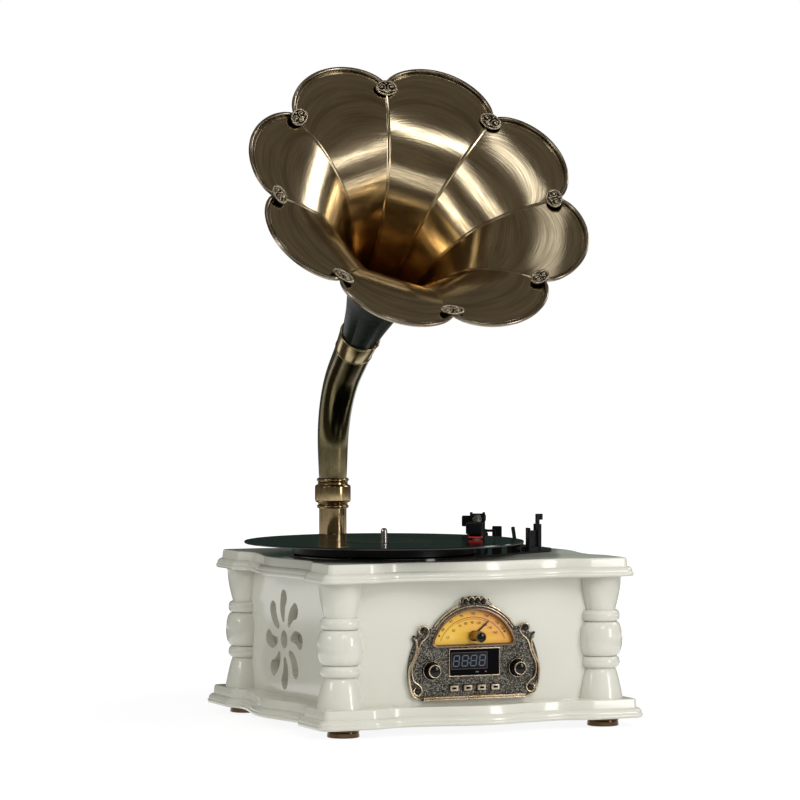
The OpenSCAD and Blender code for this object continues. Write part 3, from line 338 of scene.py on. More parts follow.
# Aged brass: clouds of a bright and a dark tone, and a grain drawn out upwards.
def antiqueBrass(name, bright, dark, roughness):
    made = Finish(name, bright, Metallic=1.0, Roughness=roughness)
    place = made.place()
    cloud = made.fitted(made.noise(place, 45, 5, 0.6), 0.35, 0.7, 0, 1)
    fine = made.noise(made.stretched(place, (900, 900, 25)), 1.0, 3)
    made.drive("Base Color", made.blended(cloud, bright, dark))
    made.drive("Roughness", made.fitted(fine + cloud * 0.4, 0.3, 1.1, roughness - 0.06, roughness + 0.1))
    made.bump(fine, 0.00003, 0.5)
    return made


# The horn's brushed brass: fine streaks run round the bell, and the colour deepens to copper in the throat,
# partly painted shade deep in the horn.
def hornSheet():
    made = Finish("hornBrass", (0.5, 0.42, 0.28), Metallic=1.0, Roughness=0.17)
    uv = made.node("ShaderNodeUVMap", {"uv_map": "surface"})
    streak = made.noise(made.stretched(uv, (3, 260, 1)), 1.0, 4, 0.6)
    broad = made.noise(made.stretched(uv, (1.5, 24, 1)), 1.0, 3, 0.5)
    along = made.node("ShaderNodeAttribute", {"attribute_name": "along"}, output="Fac")
    # The ramp along the horn grows darker towards the throat: partly the brass turning copper, partly painted
    # shade deep in the horn.
    tint = made.ramp(along, [(0.0, (0.44, 0.26, 0.12)), (0.3, (0.54, 0.35, 0.17)), (0.6, (0.63, 0.47, 0.26)),
                             (1.0, (0.66, 0.57, 0.40))])
    # Dark bands mixed into the colour: partly tonal streaks of the brushing, partly painted reflection of dark
    # surroundings mirrored in the bell.
    streaksAndPaintedReflection = made.fitted(streak * 0.5 + broad * 0.5, 0.40, 0.64, 0.0, 0.62)
    made.drive("Base Color", made.blended(streaksAndPaintedReflection, tint, (0.15, 0.105, 0.05)))
    made.drive("Roughness", made.fitted(streak, 0.3, 0.7, 0.09, 0.2))
    made.bump(streak * 0.4 + broad, 0.00035, 0.35)
    return made


# A plain finish with a fine grain in its gloss and soft clouds of a slightly darker tone.
def simple(name, color, roughness, metallic=0.0, grain=400, depth=0.00003, coat=0.0, gloss=0.5, **fixed):
    made = Finish(name, color, Metallic=metallic, Roughness=roughness, Coat_Weight=coat, Coat_Roughness=0.08,
                  Specular_IOR_Level=gloss, **fixed)
    place = made.place()
    fine = made.noise(place, grain, 3)
    cloud = made.fitted(made.noise(place, grain / 12, 4), 0.35, 0.65, 0, 1)
    made.drive("Roughness", made.fitted(fine, 0.3, 0.7, max(0.02, roughness - 0.05), roughness + 0.05))
    made.drive("Base Color", made.blended(cloud, color, tuple(part * 0.86 for part in color)))
    made.bump(fine, depth, 0.6)
    return made


# Cast pewter with a fine raised grain: the grains are paler than the hollows between them.
def stipple():
    made = Finish("stippledPewter", (0.12, 0.11, 0.09), Metallic=0.6, Roughness=0.45)
    grain = made.noise(made.place(), 780, 2, 0.6)
    made.drive("Base Color", made.ramp(grain, [(0.36, (0.006, 0.006, 0.005)), (0.5, (0.055, 0.050, 0.040)),
                                               (0.68, (0.40, 0.37, 0.31))]))
    made.bump(grain, 0.0005, 1.0)
    return made


# The dial: amber with a faint painted glow by emission, and painted shade that makes it deeper orange upwards
# and to the right.
def amberDial():
    made = Finish("dialAmber", (0.8, 0.42, 0.06), Roughness=0.35, Emission_Strength=0.05)
    place = made.place()
    across = made.node("ShaderNodeSeparateXYZ", sockets={0: place})
    # Painted shade: the amber deepens to orange upwards and to the right.
    paintedShadeRamp = made.fitted(across * 0.75 + across.other("Z") + made.noise(place, 30, 2) * 0.01, 0.088, 0.150, 0, 1)
    tint = made.ramp(paintedShadeRamp, [(0.0, (0.90, 0.55, 0.08)), (0.5, (0.84, 0.44, 0.05)), (1.0, (0.62, 0.21, 0.03))])
    made.drive("Base Color", tint)
    # The same colour drives the emission: a painted glow, though the dial is no lamp.
    made.drive("Emission Color", tint)
    return made


# The record: fine grooves round the spindle, and a dark label with two thin rings.
def vinylDisc():
    black, label = (0.008, 0.009, 0.009), (0.010, 0.012, 0.011)
    made = Finish("vinyl", black, Roughness=0.14)
    middle = (spindle[0] * mm, spindle[1] * mm, recordTop * mm)
    away = made.node("ShaderNodeVectorMath", {"operation": "DISTANCE"}, {0: made.place(), 1: middle}, "Value")
    groove = made.node("ShaderNodeMath", {"operation": "SINE"}, {0: away * 5200})
    rings = [(0.27, label), (0.30, (0.10, 0.06, 0.035)), (0.33, label),
             (0.39, label), (0.41, (0.12, 0.07, 0.04)), (0.43, black)]
    made.drive("Base Color", made.ramp(away * 10, rings))
    made.bump(groove * made.fitted(away, 0.044, 0.048, 0, 1), 0.00001, 0.4)
    return made


creamLacquer = lacquer()
pipeBrass = antiqueBrass("pipeBrass", (0.46, 0.35, 0.19), (0.32, 0.23, 0.12), 0.13)
elbowBrass = antiqueBrass("elbowBrass", (0.17, 0.14, 0.07), (0.10, 0.085, 0.045), 0.16)
collarBrass = antiqueBrass("collarBrass", (0.50, 0.40, 0.22), (0.32, 0.24, 0.12), 0.2)
# The feet's brass is painted far darker than the other brass: painted shade under the base board and painted
# dark reflection, over a dark antique tone.
footBrassPaintedShade = antiqueBrass("footBrassPaintedShade", (0.11, 0.07, 0.035), (0.06, 0.036, 0.018), 0.16)
hornBrass = hornSheet()
hornBack = simple("hornBack", (0.005, 0.012, 0.007), 0.3, grain=200, depth=0.00002, gloss=0.18)
rimBrass = antiqueBrass("rimBrass", (0.52, 0.46, 0.36), (0.22, 0.18, 0.12), 0.2)
badgeBrass = antiqueBrass("badgeBrass", (0.74, 0.66, 0.52), (0.52, 0.44, 0.32), 0.22)
badgeDark = antiqueBrass("badgeDark", (0.07, 0.055, 0.035), (0.03, 0.025, 0.016), 0.35)
stippledPewter = stipple()
lineBrass = antiqueBrass("lineBrass", (0.86, 0.73, 0.55), (0.52, 0.41, 0.28), 0.22)
darkBrass = antiqueBrass("darkBrass", (0.10, 0.08, 0.055), (0.03, 0.025, 0.02), 0.18)
rimGloss = simple("rimGloss", (0.30, 0.19, 0.12), 0.12, 0.75, 300, 0.00001, 0.6)
dialAmber = amberDial()
dialInk = simple("dialInk", (0.045, 0.02, 0.008), 0.5)
displayBlack = simple("displayBlack", (0.004, 0.004, 0.005), 0.08, gloss=0.1)
displayBlue = simple("displayBlue", (0.010, 0.012, 0.017), 0.35, gloss=0.1)
displayEdge = simple("displayEdge", (0.10, 0.07, 0.05), 0.4)
displayGhost = simple("displayGhost", (0.15, 0.17, 0.21), 0.5, gloss=0.2)
armBlack = simple("armBlack", (0.004, 0.005, 0.005), 0.4, depth=0.00001, gloss=0.15)
knobGloss = simple("knobGloss", (0.006, 0.005, 0.004), 0.1, coat=0.25, gloss=0.2)
knobSide = antiqueBrass("knobSide", (0.42, 0.28, 0.14), (0.16, 0.10, 0.05), 0.22)
buttonBrass = antiqueBrass("buttonBrass", (0.72, 0.60, 0.46), (0.52, 0.40, 0.28), 0.28)


# Boards. A board's plan has a bow in each side's middle, a cove each side of it and round corners, and the
# moulding steps in from that plan: bullnose, cove, upright, rounded upper edge.
boards = {"bow": 4.0, "cove": 9.0, "corner": 13.0, "coveAt": (92.0, 84.0), "earAt": (128.0, 110.0),
          "nose": 2.6, "hollow": 5.6, "lip": 1.4, "wellR": 78.0}


# How far a side stands out at a distance from its middle: a cosine wave from the bow down to the cove, and
# another from the cove back to the plain line at the ear.
def sideWave(distance, coveAt, earAt):
    bow, cove = boards["bow"], boards["cove"]
    middle = (bow + cove) * (1 + np.cos(np.pi * distance / coveAt)) / 2 - cove
    ends = -cove * (1 + np.cos(np.pi * (distance - coveAt) / (earAt - coveAt))) / 2
    return np.where(distance < coveAt, middle, np.where(distance < earAt, ends, 0))


# The plan: four times a side with its wave and the corner's arc after it, each time turned by a quarter.
def planOutline(half):
    corner = boards["corner"]
    sides = []
    for k in range(4):
        reach, depth = half[k % 2] - corner, half[(k + 1) % 2]
        along = np.linspace(-reach, reach, 181)
        wave = sideWave(np.abs(along), boards["coveAt"][k % 2], boards["earAt"][k % 2])
        bend = arc((reach, corner - depth), corner, -90, 0, 17)[1:-1]
        side = np.concatenate([np.stack([along, -depth - wave], -1), bend])
        sides.append(np.stack(spun(*side.T, math.pi / 2 * k), -1))
    return np.concatenate(sides)


# The moulding as (inset, height): an arc that bulges, one that hollows, an upright and an arc over its edge.
def moulding():
    nose, hollow, lip, top = boards["nose"], boards["hollow"], boards["lip"], cabinet["board"]
    upright = nose / 2 + hollow
    return np.concatenate([arc((nose, nose), (-nose, nose), -90, 60, 14),
                           arc((upright, 2 * nose - 0.2), (-hollow, hollow), 0, 90, 12),
                           [[upright + 0.6, top - 2 * lip]],
                           arc((upright + 1.1 + lip, top - lip), (-lip, lip), 0, 90, 8)])


# A board: the plan, drawn in along its own normal by the moulding's inset at each height. The top board's
# rings end at a round well, and the base board's close in the middle.
def boardMesh(half, low, hasWell=False):
    # A ring of flat points, lifted to a height above the board's underside.
    def level(points, up):
        return np.column_stack([points, np.full(len(points), low + up)])

    plan = planOutline(half)
    ahead = np.roll(plan, -1, 0) - np.roll(plan, 1, 0)
    ahead /= np.linalg.norm(ahead, axis=1)[:, None]
    normal = np.stack([ahead[:, 1], -ahead[:, 0]], -1)
    rings = [level(plan - inset * normal, up) for inset, up in moulding()]
    if hasWell:
        away = plan - np.array(spindle)
        well = np.array(spindle) + boards["wellR"] * away / np.linalg.norm(away, axis=1)[:, None]
        rings += [level(well, cabinet["board"]), level(well, 0), rings[0]]
    else:
        rings = [level(plan * 0, 0), *rings, level(plan * 0, cabinet["board"])]
    rings = np.array(rings) * mm
    return solid([patch(np.concatenate([rings, rings[:, :1]], 1))], 40)


piece("baseBoard", boardMesh(cabinet["baseHalf"], cabinet["footH"]), [creamLacquer], ["base_board"])
piece("topBoard", boardMesh(cabinet["topHalf"], topZ, True), [creamLacquer], ["top_board"])
print("boards made")


# Columns: a bell, a ring, a ball, a ring and a vase on one turned post.
column = {"neck": 16.6, "ball": 24.4, "ring": 21.6, "bellH": 32.5, "ringH": 12.4, "ballH": 37.2}


# A ring or ball: its radius grows from the neck by a power of a sine of the way up.
def bulge(low, height, radius):
    turn = np.linspace(0, np.pi, 28)
    swell = (radius - column["neck"]) * np.sin(turn) ** 0.8
    return np.stack([column["neck"] + swell, low + height * (1 - np.cos(turn)) / 2], -1)


# The post's profile. The bell narrows to the neck, and the vase widens from it, by a power of the way along.
def columnProfile():
    neck, ball, ring, top = column["neck"], column["ball"], column["ring"], cabinet["columnH"]
    joints = np.cumsum([column["bellH"], column["ringH"], column["ballH"], column["ringH"]])
    part = np.linspace(1, 0, 24)
    bell = np.stack([neck + (ball + 0.5 - neck) * part ** 0.7, joints[0] * (1 - part)], -1)
    part = np.linspace(0, 1, 24)[1:]
    widening = (ball - 1.2 - neck) * (1 - (1 - part) ** 1.6)
    vase = np.stack([neck + widening, joints[3] + (top - joints[3]) * part], -1)
    bulges = [bulge(*size) for size in zip(joints, (column["ringH"], column["ballH"], column["ringH"]),
                                           (ring, ball, ring))]
    return np.concatenate([[[0, 0]], bell, *bulges, vase, [[0, top]]])


corners = {"front_left": (-1, -1), "front_right": (1, -1), "rear_left": (-1, 1), "rear_right": (1, 1)}
for name, (sx, sy) in corners.items():
    post = turned(columnProfile(), 96, (sx * cabinet["halfX"], sy * cabinet["halfY"], columnZ)) * mm
    piece(name + "Column", solid([patch(post)], 50), [creamLacquer], [name + "_column"])
print("columns made")


# Horn. The elbow's middle line rises, bends forward and runs straight into the bell.
horn = {"collarZ": 46.0, "collarH": 32.0, "riser": 32.7, "bend": 115.0, "lean": 51.0, "neck": 33.1,
        "turn": -2.6, "pipeR": 15.4, "endR": 20.6, "wall": 1.6, "seat": 1.6, "bell": 253.0, "notch": 156.0,
        "reach": 29.4, "forward": 6.2, "petals": 8, "flat": 0.92, "lipFrom": 0.88, "rib": 1.1, "ribHalf": 1.9}
collarFoot = deckZ + horn["collarZ"]
collarTop = collarFoot + horn["collarH"]
hornLean = math.radians(horn["lean"])
throat = horn["endR"] - 2 * horn["wall"] - 0.1


# The middle line as (forward, height, angle) at a length along it: a riser, then an arc, then a straight run.
def elbowLine(length):
    bend, riser = horn["bend"], horn["riser"]
    angle = np.clip((length - riser) / (bend * hornLean), 0, 1) * hornLean
    run = np.maximum(0, length - riser - bend * hornLean)
    up = collarTop + np.minimum(length, riser) + bend * np.sin(angle) + run * np.cos(angle)
    return np.stack([bend * (1 - np.cos(angle)) + run * np.sin(angle), up, angle], -1)


elbowRun = horn["riser"] + horn["bend"] * hornLean + horn["neck"]
mouth = elbowLine(np.array([elbowRun]))[0]


# Turns the horn's plane about the pipe, from straight ahead.
def hornPlace(points):
    x, y, z = np.moveaxis(np.asarray(points, float), -1, 0)
    across, back = spun(x, y, math.radians(horn["turn"]))
    return np.stack([pipe[0] + across, pipe[1] + back, z], -1) * mm


# The bell's frame: its Z runs along the horn's axis, from the collar's shoulder past the elbow's end.
def bellPlace(points):
    x, y, z = np.moveaxis(np.asarray(points, float), -1, 0)
    back, up = spun(y, z + horn["seat"], hornLean)
    return hornPlace(np.stack([x, back - mouth[0], up + mouth[1]], -1))


# The elbow's rings: circles across the middle line, which widen by a power of the part of the way.
def elbowRings(shrink):
    part = np.linspace(0, 1, 72)
    ahead, up, angle = elbowLine(part * elbowRun).T[..., None]
    radius = (horn["pipeR"] + (horn["endR"] - horn["pipeR"]) * part ** 0.8 - shrink)[:, None]
    turn = np.linspace(0, 2 * np.pi, 97)
    across, along = radius * np.cos(turn), radius * np.sin(turn)
    return hornPlace(np.stack([across, -ahead - along * np.cos(angle), up - along * np.sin(angle)], -1))


outerRings, innerRings = elbowRings(0), elbowRings(horn["wall"])
elbowGrid = np.concatenate([outerRings, innerRings[::-1], outerRings[:1]])
piece("hornElbow", solid([patch(elbowGrid)], 40), [elbowBrass], ["horn_elbow"])


# The flare at part s of the way to the notches: throat + (notch - throat) times the mean of s^1.5 and s^8.
def flareRadius(s):
    return throat + (horn["notch"] - throat) * (s ** 1.5 + s ** 8) / 2


# A petal's edge stands out past the notches by a power of a sine of u, the part of the way across the petal.
def lobe(u):
    return np.maximum(0, np.sin(np.pi * u)) ** 0.55


# Between two seams the panel keeps near the chord: radius times 1 - flat + flat cos(half) / cos(off middle).
def panelPoint(s, u):
    half = math.pi / horn["petals"]
    flat = horn["flat"] * np.minimum(1, 3 * s)
    radius = flareRadius(s) * (1 - flat + flat * math.cos(half) / np.cos((2 * u - 1) * half))
    return np.stack([radius, horn["bell"] * s + 0 * radius], -1)


# The inner face in a plane through the axis, as (radius, height): the panel, and from lipFrom on a cubic that
# starts along the panel and ends turned as far the other way from the chord to the petal's edge.
def bellFace(s, u):
    cut = horn["lipFrom"]
    base = panelPoint(np.minimum(s, cut), u)
    start = panelPoint(np.full_like(s, cut), u)
    ahead = start - panelPoint(np.full_like(s, cut - 0.01), u)
    ahead /= np.linalg.norm(ahead, axis=-1)[..., None]
    edge = np.stack([horn["notch"] + horn["reach"] * lobe(u), horn["bell"] + horn["forward"] * lobe(u)], -1)
    run = np.linalg.norm(edge - start, axis=-1)[..., None]
    chord = (edge - start) / run
    end = 2 * np.sum(chord * ahead, -1)[..., None] * chord - ahead
    w = np.clip((s - cut) / (1 - cut), 0, 1)[..., None]
    lip = (2 * w - 3) * w * w * (start - edge) + start + run * w * ((1 - w) ** 2 * ahead - w * (1 - w) * end)
    return np.where((s > cut)[..., None], lip, base)


# A point of petal k at a distance out from the inner face, along the normal of its curve.
def bellPoints(s, k, u, out):
    slope = bellFace(np.minimum(1, s + 0.004), u) - bellFace(np.maximum(0, s - 0.004), u)
    slope /= np.linalg.norm(slope, axis=-1)[..., None]
    face = bellFace(s, u)
    radius = face[..., 0] + out * slope[..., 1]
    angle = 2 * np.pi * (k + u) / horn["petals"] - np.pi / 2
    return np.stack([radius * np.cos(angle), radius * np.sin(angle), face[..., 1] - out * slope[..., 0]], -1)


# The petals' grids: each row has the same few distances beside its two seams, and even parts between them. A
# ridge along each seam rises by a squared cosine of the distance from it.
def bellGrids(out, ribbed):
    cut = horn["lipFrom"]
    s = np.concatenate([np.linspace(0, cut, 80, endpoint=False), np.linspace(cut, 1, 30)])
    width = 2 * np.pi * flareRadius(s)[:, None] / horn["petals"]
    near = np.array([[0, 0.3, 0.6, 0.95, 1.3, 1.6, 1.9, 2.4]])
    beside = np.minimum(near / width, near / near.max() * 0.25)
    middle = np.linspace(0, 1, 25)[None, 1:-1]
    between = beside[:, -1:] + (1 - 2 * beside[:, -1:]) * middle
    u = np.concatenate([beside, between, 1 - beside[:, ::-1]], 1)
    s = np.broadcast_to(s[:, None], u.shape)
    off = np.minimum(1, np.minimum(u, 1 - u) * width / horn["ribHalf"])
    ridge = horn["rib"] * np.cos(np.pi / 2 * off) ** 2 * np.minimum(1, s * 6)
    return [bellPlace(bellPoints(s, k, u, out - (ridge if ribbed else 0))) for k in range(horn["petals"])]


# The bell: inner and outer face of each petal, joined along the lip and the throat. Its attribute says how
# far along the axis each point lies.
def bellMesh():
    patches = []
    for face, back in zip(bellGrids(0.0, True), bellGrids(horn["wall"], False)):
        patches.append(patch(face, 0))
        patches.append(patch(back, 1, True))
        patches.append(patch(np.stack([face[-1], back[-1]]), 0, True))
        patches.append(patch(np.stack([face[0], back[0]]), 1))
    mesh = solid(patches, 60)
    start, ahead = bellPlace([[0, 0, 0], [0, 0, 1]])
    axis = (ahead - start) / np.linalg.norm(ahead - start)
    along = np.clip((meshPoints(mesh) - start) @ axis / (horn["bell"] * mm), 0, 1)
    mesh.attributes.new("along", "FLOAT", "POINT").data.foreach_set("value", along.astype(np.float32))
    return mesh


piece("hornBell", bellMesh(), [hornBrass, hornBack], ["horn_bell"])
print("horn bell made")


# The rim: a rolled bead on the petals' edges, and a thin wire a little further in.
rim = {"bead": 1.9, "beadGap": 0.3, "wire": 0.75, "wireIn": 4.6, "wireSunk": 0.35}


# A line round the petals, inward from their edges. It has more points near the notches, by a cosine.
def rimPath(inward, out):
    u = (1 - np.cos(np.linspace(0, np.pi, 73)[:-1])) / 2
    edge = bellFace(np.ones_like(u), u)
    start = bellFace(np.full_like(u, horn["lipFrom"]), u)
    s = 1 - inward * (1 - horn["lipFrom"]) / np.linalg.norm(edge - start, axis=-1)
    return bellPlace(np.concatenate([bellPoints(s, k, u, out) for k in range(horn["petals"])]))


bead = tube(rimPath(0, -rim["bead"] - rim["beadGap"]), rim["bead"] * mm, 14, True)
edgeWire = tube(rimPath(rim["wireIn"], -rim["wireSunk"]), rim["wire"] * mm, 10, True)
piece("hornRim", solid([patch(bead), patch(edgeWire)], 60), [rimBrass], ["horn_rim"])


# A badge over each notch: an oval plate with a corded edge, two scrolls round their beads, and a fan.
badge = {"halfW": 11.6, "halfH": 8.2, "thick": 1.5, "cord": 1.15, "cords": 44, "eye": 5.1, "eyeX": 5.0,
         "eyeY": -1.0, "fan": 5, "fanStep": 26.0, "fanLong": 4.4, "scale": 1.06, "in": 0.4, "up": 2.4}


# A dome: a quarter of an oval, turned, with a skirt a little below its foot.
def dome(center, radius, height):
    return turned([[0, -0.2], [radius, -0.2], *arc((0, 0), (radius, height), 0, 90, 6)], 16, center)


# A wire whose distance from the centre shrinks evenly as it turns, and which thins by a third on the way.
def spiral(center, outerR, innerR, turns, start, width, lift):
    t = np.linspace(0, 1, 60)
    radius = outerR + (innerR - outerR) * t
    angle = math.radians(start) + 2 * np.pi * turns * t
    path = [center[0] + radius * np.cos(angle), center[1] + radius * np.sin(angle), np.full_like(t, lift)]
    return tube(np.stack(path, -1), width * (1 - 0.35 * t), 8)


# The grids of one badge, plate first. The edge's cord swells and thins by a cosine.
def badgeGrids():
    halfW, halfH, thick, cords = badge["halfW"], badge["halfH"], badge["thick"], 6 * badge["cords"]
    levels = ((0, 0), (0.97, 0), (1, 0.5), (0.97, thick), (0, thick))
    plate = [np.column_stack([arc((0, 0), (halfW * share, halfH * share), 0, 360, 97), np.full(97, z)])
             for share, z in levels]
    edge = arc((0, 0), (halfW - 0.9, halfH - 0.9), 0, 360, cords + 1)[:-1]
    wave = np.cos(np.linspace(0, 2 * np.pi * badge["cords"], cords, endpoint=False))
    cord = badge["cord"] * (0.86 + 0.14 * wave)
    wires = [tube(np.column_stack([edge, np.full(cords, thick + 0.2)]), cord, 8, True)]
    for side in (-1, 1):
        eye = (side * badge["eyeX"], badge["eyeY"])
        wires.append(spiral(eye, badge["eye"], 2.1, side * 1.3, -90 + side * 20, 0.8, thick + 0.5))
        wires.append(dome((*eye, thick - 0.1), 1.7, 2.2))
    root = np.array([0, 1.4, thick + 0.2])
    for i in range(badge["fan"]):
        angle = math.radians(90 + (i - (badge["fan"] - 1) / 2) * badge["fanStep"])
        tip = root + np.array([badge["fanLong"] * math.cos(angle), badge["fanLong"] * math.sin(angle), 0.3])
        wires.append(tube(np.linspace(root, tip, 7), [0.35, 0.6, 0.8, 0.9, 0.9, 0.8, 0.4], 8))
    wires.append(dome((0, -5.0, thick - 0.1), 1.2, 1.4))
    return [plate], wires


# Each badge is tipped to the slope of the bell's edge at a notch and turned about the horn's axis.
def badgeMesh():
    slope = bellFace(np.ones(1), np.zeros(1))[0] - bellFace(np.full(1, 0.98), np.zeros(1))[0]
    patches = []
    for k in range(horn["petals"]):
        for slotIndex, grids in enumerate(badgeGrids()):
            for grid in grids:
                x, y, z = badge["scale"] * np.moveaxis(np.asarray(grid), -1, 0)
                y, z = spun(y + badge["in"], z + badge["up"], -math.atan2(slope[1], slope[0]))
                x, y = spun(x, y - horn["notch"], 2 * np.pi * k / horn["petals"])
                patches.append(patch(bellPlace(np.stack([x, y, z + horn["bell"]], -1)), slotIndex))
    return solid(patches, 50)


piece("hornBadges", badgeMesh(), [badgeDark, badgeBrass], ["horn_badges"])
print("rim and badges made")


# The sleeve between elbow and bell, with an eye standing on its rim.
sleeve = {"long": 26.8, "spigot": 8.0, "eyeTurn": -56.0, "eyeW": 11.4, "eyeH": 6.4, "eyeWire": 0.75}


# The sleeve's profile: a spigot in the elbow, a bead, a cone, a bead at the rim and the bell's well.
def sleeveProfile():
    end, low, high = horn["endR"], 0.1 - horn["seat"], sleeve["long"]
    spigot, foot, top = end - horn["wall"] - 0.6, end + 0.3, end + 1.9
    well = throat + horn["wall"] + 0.3
    inside = [[spigot - 1, -0.4], [spigot - 1, low - sleeve["spigot"]]]
    footBead = arc((foot - 0.2, low + 1.0), (0.7, 0.9), -80, 80, 9)
    rimBead = arc((top - 0.5, high - 1.4), (1.0, 1.3), -80, 80, 9)
    return [inside[1], [spigot, low - sleeve["spigot"]], [spigot, low], [foot, low], *footBead,
            [foot, low + 2.1], [top, high - 3.0], *rimBead, [top - 1.0, high], [well, 1.2], [well, -0.4],
            *inside]


# The sleeve and its eye, an oval of wire that stands along the horn's axis.
def sleeveMesh():
    eyeWire = sleeve["eyeWire"]
    across, up = arc((0, 0), (sleeve["eyeW"] / 2 - eyeWire, sleeve["eyeH"] / 2 - eyeWire), 0, 360, 49)[:-1].T
    x, y = spun(horn["endR"] + 2.4, across, math.radians(sleeve["eyeTurn"]))
    path = bellPlace(np.stack([x, y, sleeve["long"] + 1 + up], -1))
    eye = tube(path, eyeWire * mm, 10, True, side=(0.3, 0.2, 1))
    return solid([patch(bellPlace(turned(sleeveProfile()))), patch(eye)], 40)


piece("hornCollar", sleeveMesh(), [collarBrass], ["horn_collar"])


# The pipe, its socket on the top board and the collar that turns on its end.
pipeWall = {"r": horn["pipeR"], "bore": horn["pipeR"] - horn["wall"], "foot": deckZ + 2,
            "top": collarFoot + 17}


# A piece whose profile of (radius, height) is turned round the pipe's axis.
def pipeTurned(name, profile, node):
    grid = turned(profile, 128, (pipe[0], pipe[1], 0)) * mm
    piece(name, solid([patch(grid)], 40), [pipeBrass], [node])


# The collar's profile: a bead at each end, a band between them, and inside it the pipe's seat.
def pipeCollarProfile():
    r, fit, seat = pipeWall["r"], pipeWall["r"] + 0.05, pipeWall["top"] + 0.2
    low = arc((r + 0.7, collarFoot), 1.9, -85, 85, 15)
    high = arc((r + 0.3, collarTop - 2.3), 2.3, -85, 85, 15)
    half = [(1.4, 2.6, 5.2), (1.4, 4.2, 7.2), (3.9, 5.2, 8.2), (4.7, 6.6, 9.6)]
    band = [[r + proud, collarFoot + up] for proud, up, _ in half]
    band += [[r + proud, collarTop - down] for proud, _, down in half[::-1]]
    return np.concatenate([[[fit, collarFoot - 1.8]], low, rounded(band, 0.5), high,
                           [[pipeWall["bore"], collarTop], [pipeWall["bore"], seat], [fit, seat],
                            [fit, collarFoot - 1.8]]])


# The socket's profile: a step under a ring round the pipe.
def socketProfile():
    r, seat, foot = pipeWall["r"], pipeWall["bore"] - 1, pipeWall["foot"]
    top, fit, ring = deckZ + 8, r + 0.05, r + 1.2
    return rounded([[seat, deckZ], [r + 1.8, deckZ], [r + 1.8, foot], [ring, foot + 1], [ring, top],
                    [fit, top], [fit, foot], [seat, foot], [seat, deckZ]], 0.3)


pipeCorners = (("bore", "foot"), ("r", "foot"), ("r", "top"), ("bore", "top"), ("bore", "foot"))
pipeTurned("hornPipe", [[pipeWall[radius], pipeWall[height]] for radius, height in pipeCorners], "horn_pipe")
pipeTurned("hornSocket", socketProfile(), "horn_socket")
pipeTurned("pipeCollar", pipeCollarProfile(), "pipe_collar")


# Feet: low brass discs with a bead round the upper edge.
foot = {"r": 17.8, "h": 9.5, "spanY": 285.0, "bead": 1.6}


# A foot's profile: a chamfer, a straight side and the bead's arc.
def footProfile():
    r, h, bead = foot["r"], foot["h"], foot["bead"]
    return [[0, 0], [r - 1.9, 0], [r - 1.0, 0.4], [r - 0.7, 1.2], [r - 1.4, h - 3.2],
            *arc((r - bead, h - bead), bead, -70, 80, 12), [r - 2, h], [0, h]]


feet = [patch(turned(footProfile(), 96, (sx * cabinet["halfX"], sy * foot["spanY"] / 2, 0)) * mm)
        for sx in (-1, 1) for sy in (-1, 1)]
piece("feet", solid(feet, 45), [footBrassPaintedShade], ["feet"])
print("pipe, collars and feet made")


# Radio panel. Flat points are [across, up] from the base board's top; out is the distance from the middle.
face = {"t": 3.6, "archR": 56.5, "archZ": 49.6, "dialR": 48.5, "chord": 13.0, "corner": 5.0, "halfW": 75.5,
        "foot": 3.8, "displayW": 57.0, "displayH": 27.4, "displayZ": 43.6, "pitch": 15.9, "buttonW": 9.6,
        "buttonH": 6.2, "buttonZ": 16.6, "knobX": 49.5, "knobZ": 36.0, "tuningZ": 21.4, "shaft": 3.4}
plateNear = cabinet["faceY"]
plateFar = plateNear + face["t"]
knobUp = face["archZ"] + face["tuningZ"]


# The panel's frame: across, up from the base board's top, and out from the cabinet's middle to the front.
def facePlace(points):
    x, up, out = np.moveaxis(np.asarray(points, float), -1, 0)
    return np.stack([x, -out, columnZ + up], -1) * mm


# The panel's point at a distance from the arch's middle, so many degrees right of straight up.
def archPoint(away, lean):
    turn = np.radians(lean)
    return np.stack([away * np.sin(turn), face["archZ"] + away * np.cos(turn)], -1)


# A mesh from a drawn curve or words; its points are placed by the function given.
def fromCurve(curve, place):
    maker = linked("maker", curve)
    bpy.context.view_layer.update()
    mesh = bpy.data.meshes.new_from_object(maker.evaluated_get(bpy.context.evaluated_depsgraph_get()))
    bpy.data.objects.remove(maker)
    mesh.vertices.foreach_set("co", place(meshPoints(mesh)).reshape(-1).astype(np.float32))
    mesh.materials.clear()
    return mesh


# A flat plate with holes: its first loop is the outline. It lies between near and far, with rounded edges.
def plateMesh(loops, near, far, bevel=0.3, place=facePlace):
    curve = bpy.data.curves.new("plate", "CURVE")
    curve.dimensions = "2D"
    curve.fill_mode = "BOTH"
    curve.extrude = (far - near) / 2 - bevel
    curve.bevel_depth = bevel
    curve.bevel_resolution = 2
    curve.offset = -bevel
    for loop in loops:
        spline = curve.splines.new("POLY")
        spline.points.add(len(loop) - 1)
        ends = np.column_stack([loop, np.zeros(len(loop)), np.ones(len(loop))])
        spline.points.foreach_set("co", ends.reshape(-1))
        spline.use_cyclic_u = True
    return fromCurve(curve, lambda p: place(p + [0, 0, (near + far) / 2]))


# A printed word, its middle at a spot, turned by an angle in degrees.
def wordMesh(text, size, spot, turn, out, thick):
    curve = bpy.data.curves.new("words", "FONT")
    curve.body = text
    curve.size = size
    curve.extrude = thick / 2
    curve.align_x = "CENTER"
    curve.align_y = "CENTER"

    def place(points):
        across, up = spun(points[:, 0], points[:, 1], math.radians(turn))
        return facePlace(np.stack([spot[0] + across, spot[1] + up, out + points[:, 2]], -1))

    return fromCurve(curve, place)


# A tube along flat points of the panel, its middle a distance out.
def panelTube(path, out, radius, squeeze=1.0, sides=10, closed=False):
    points = facePlace(np.column_stack([path, np.broadcast_to(out, len(path))]))
    return patch(tube(points, radius * mm, sides, closed, side=(0, 1, 0), squeeze=squeeze))


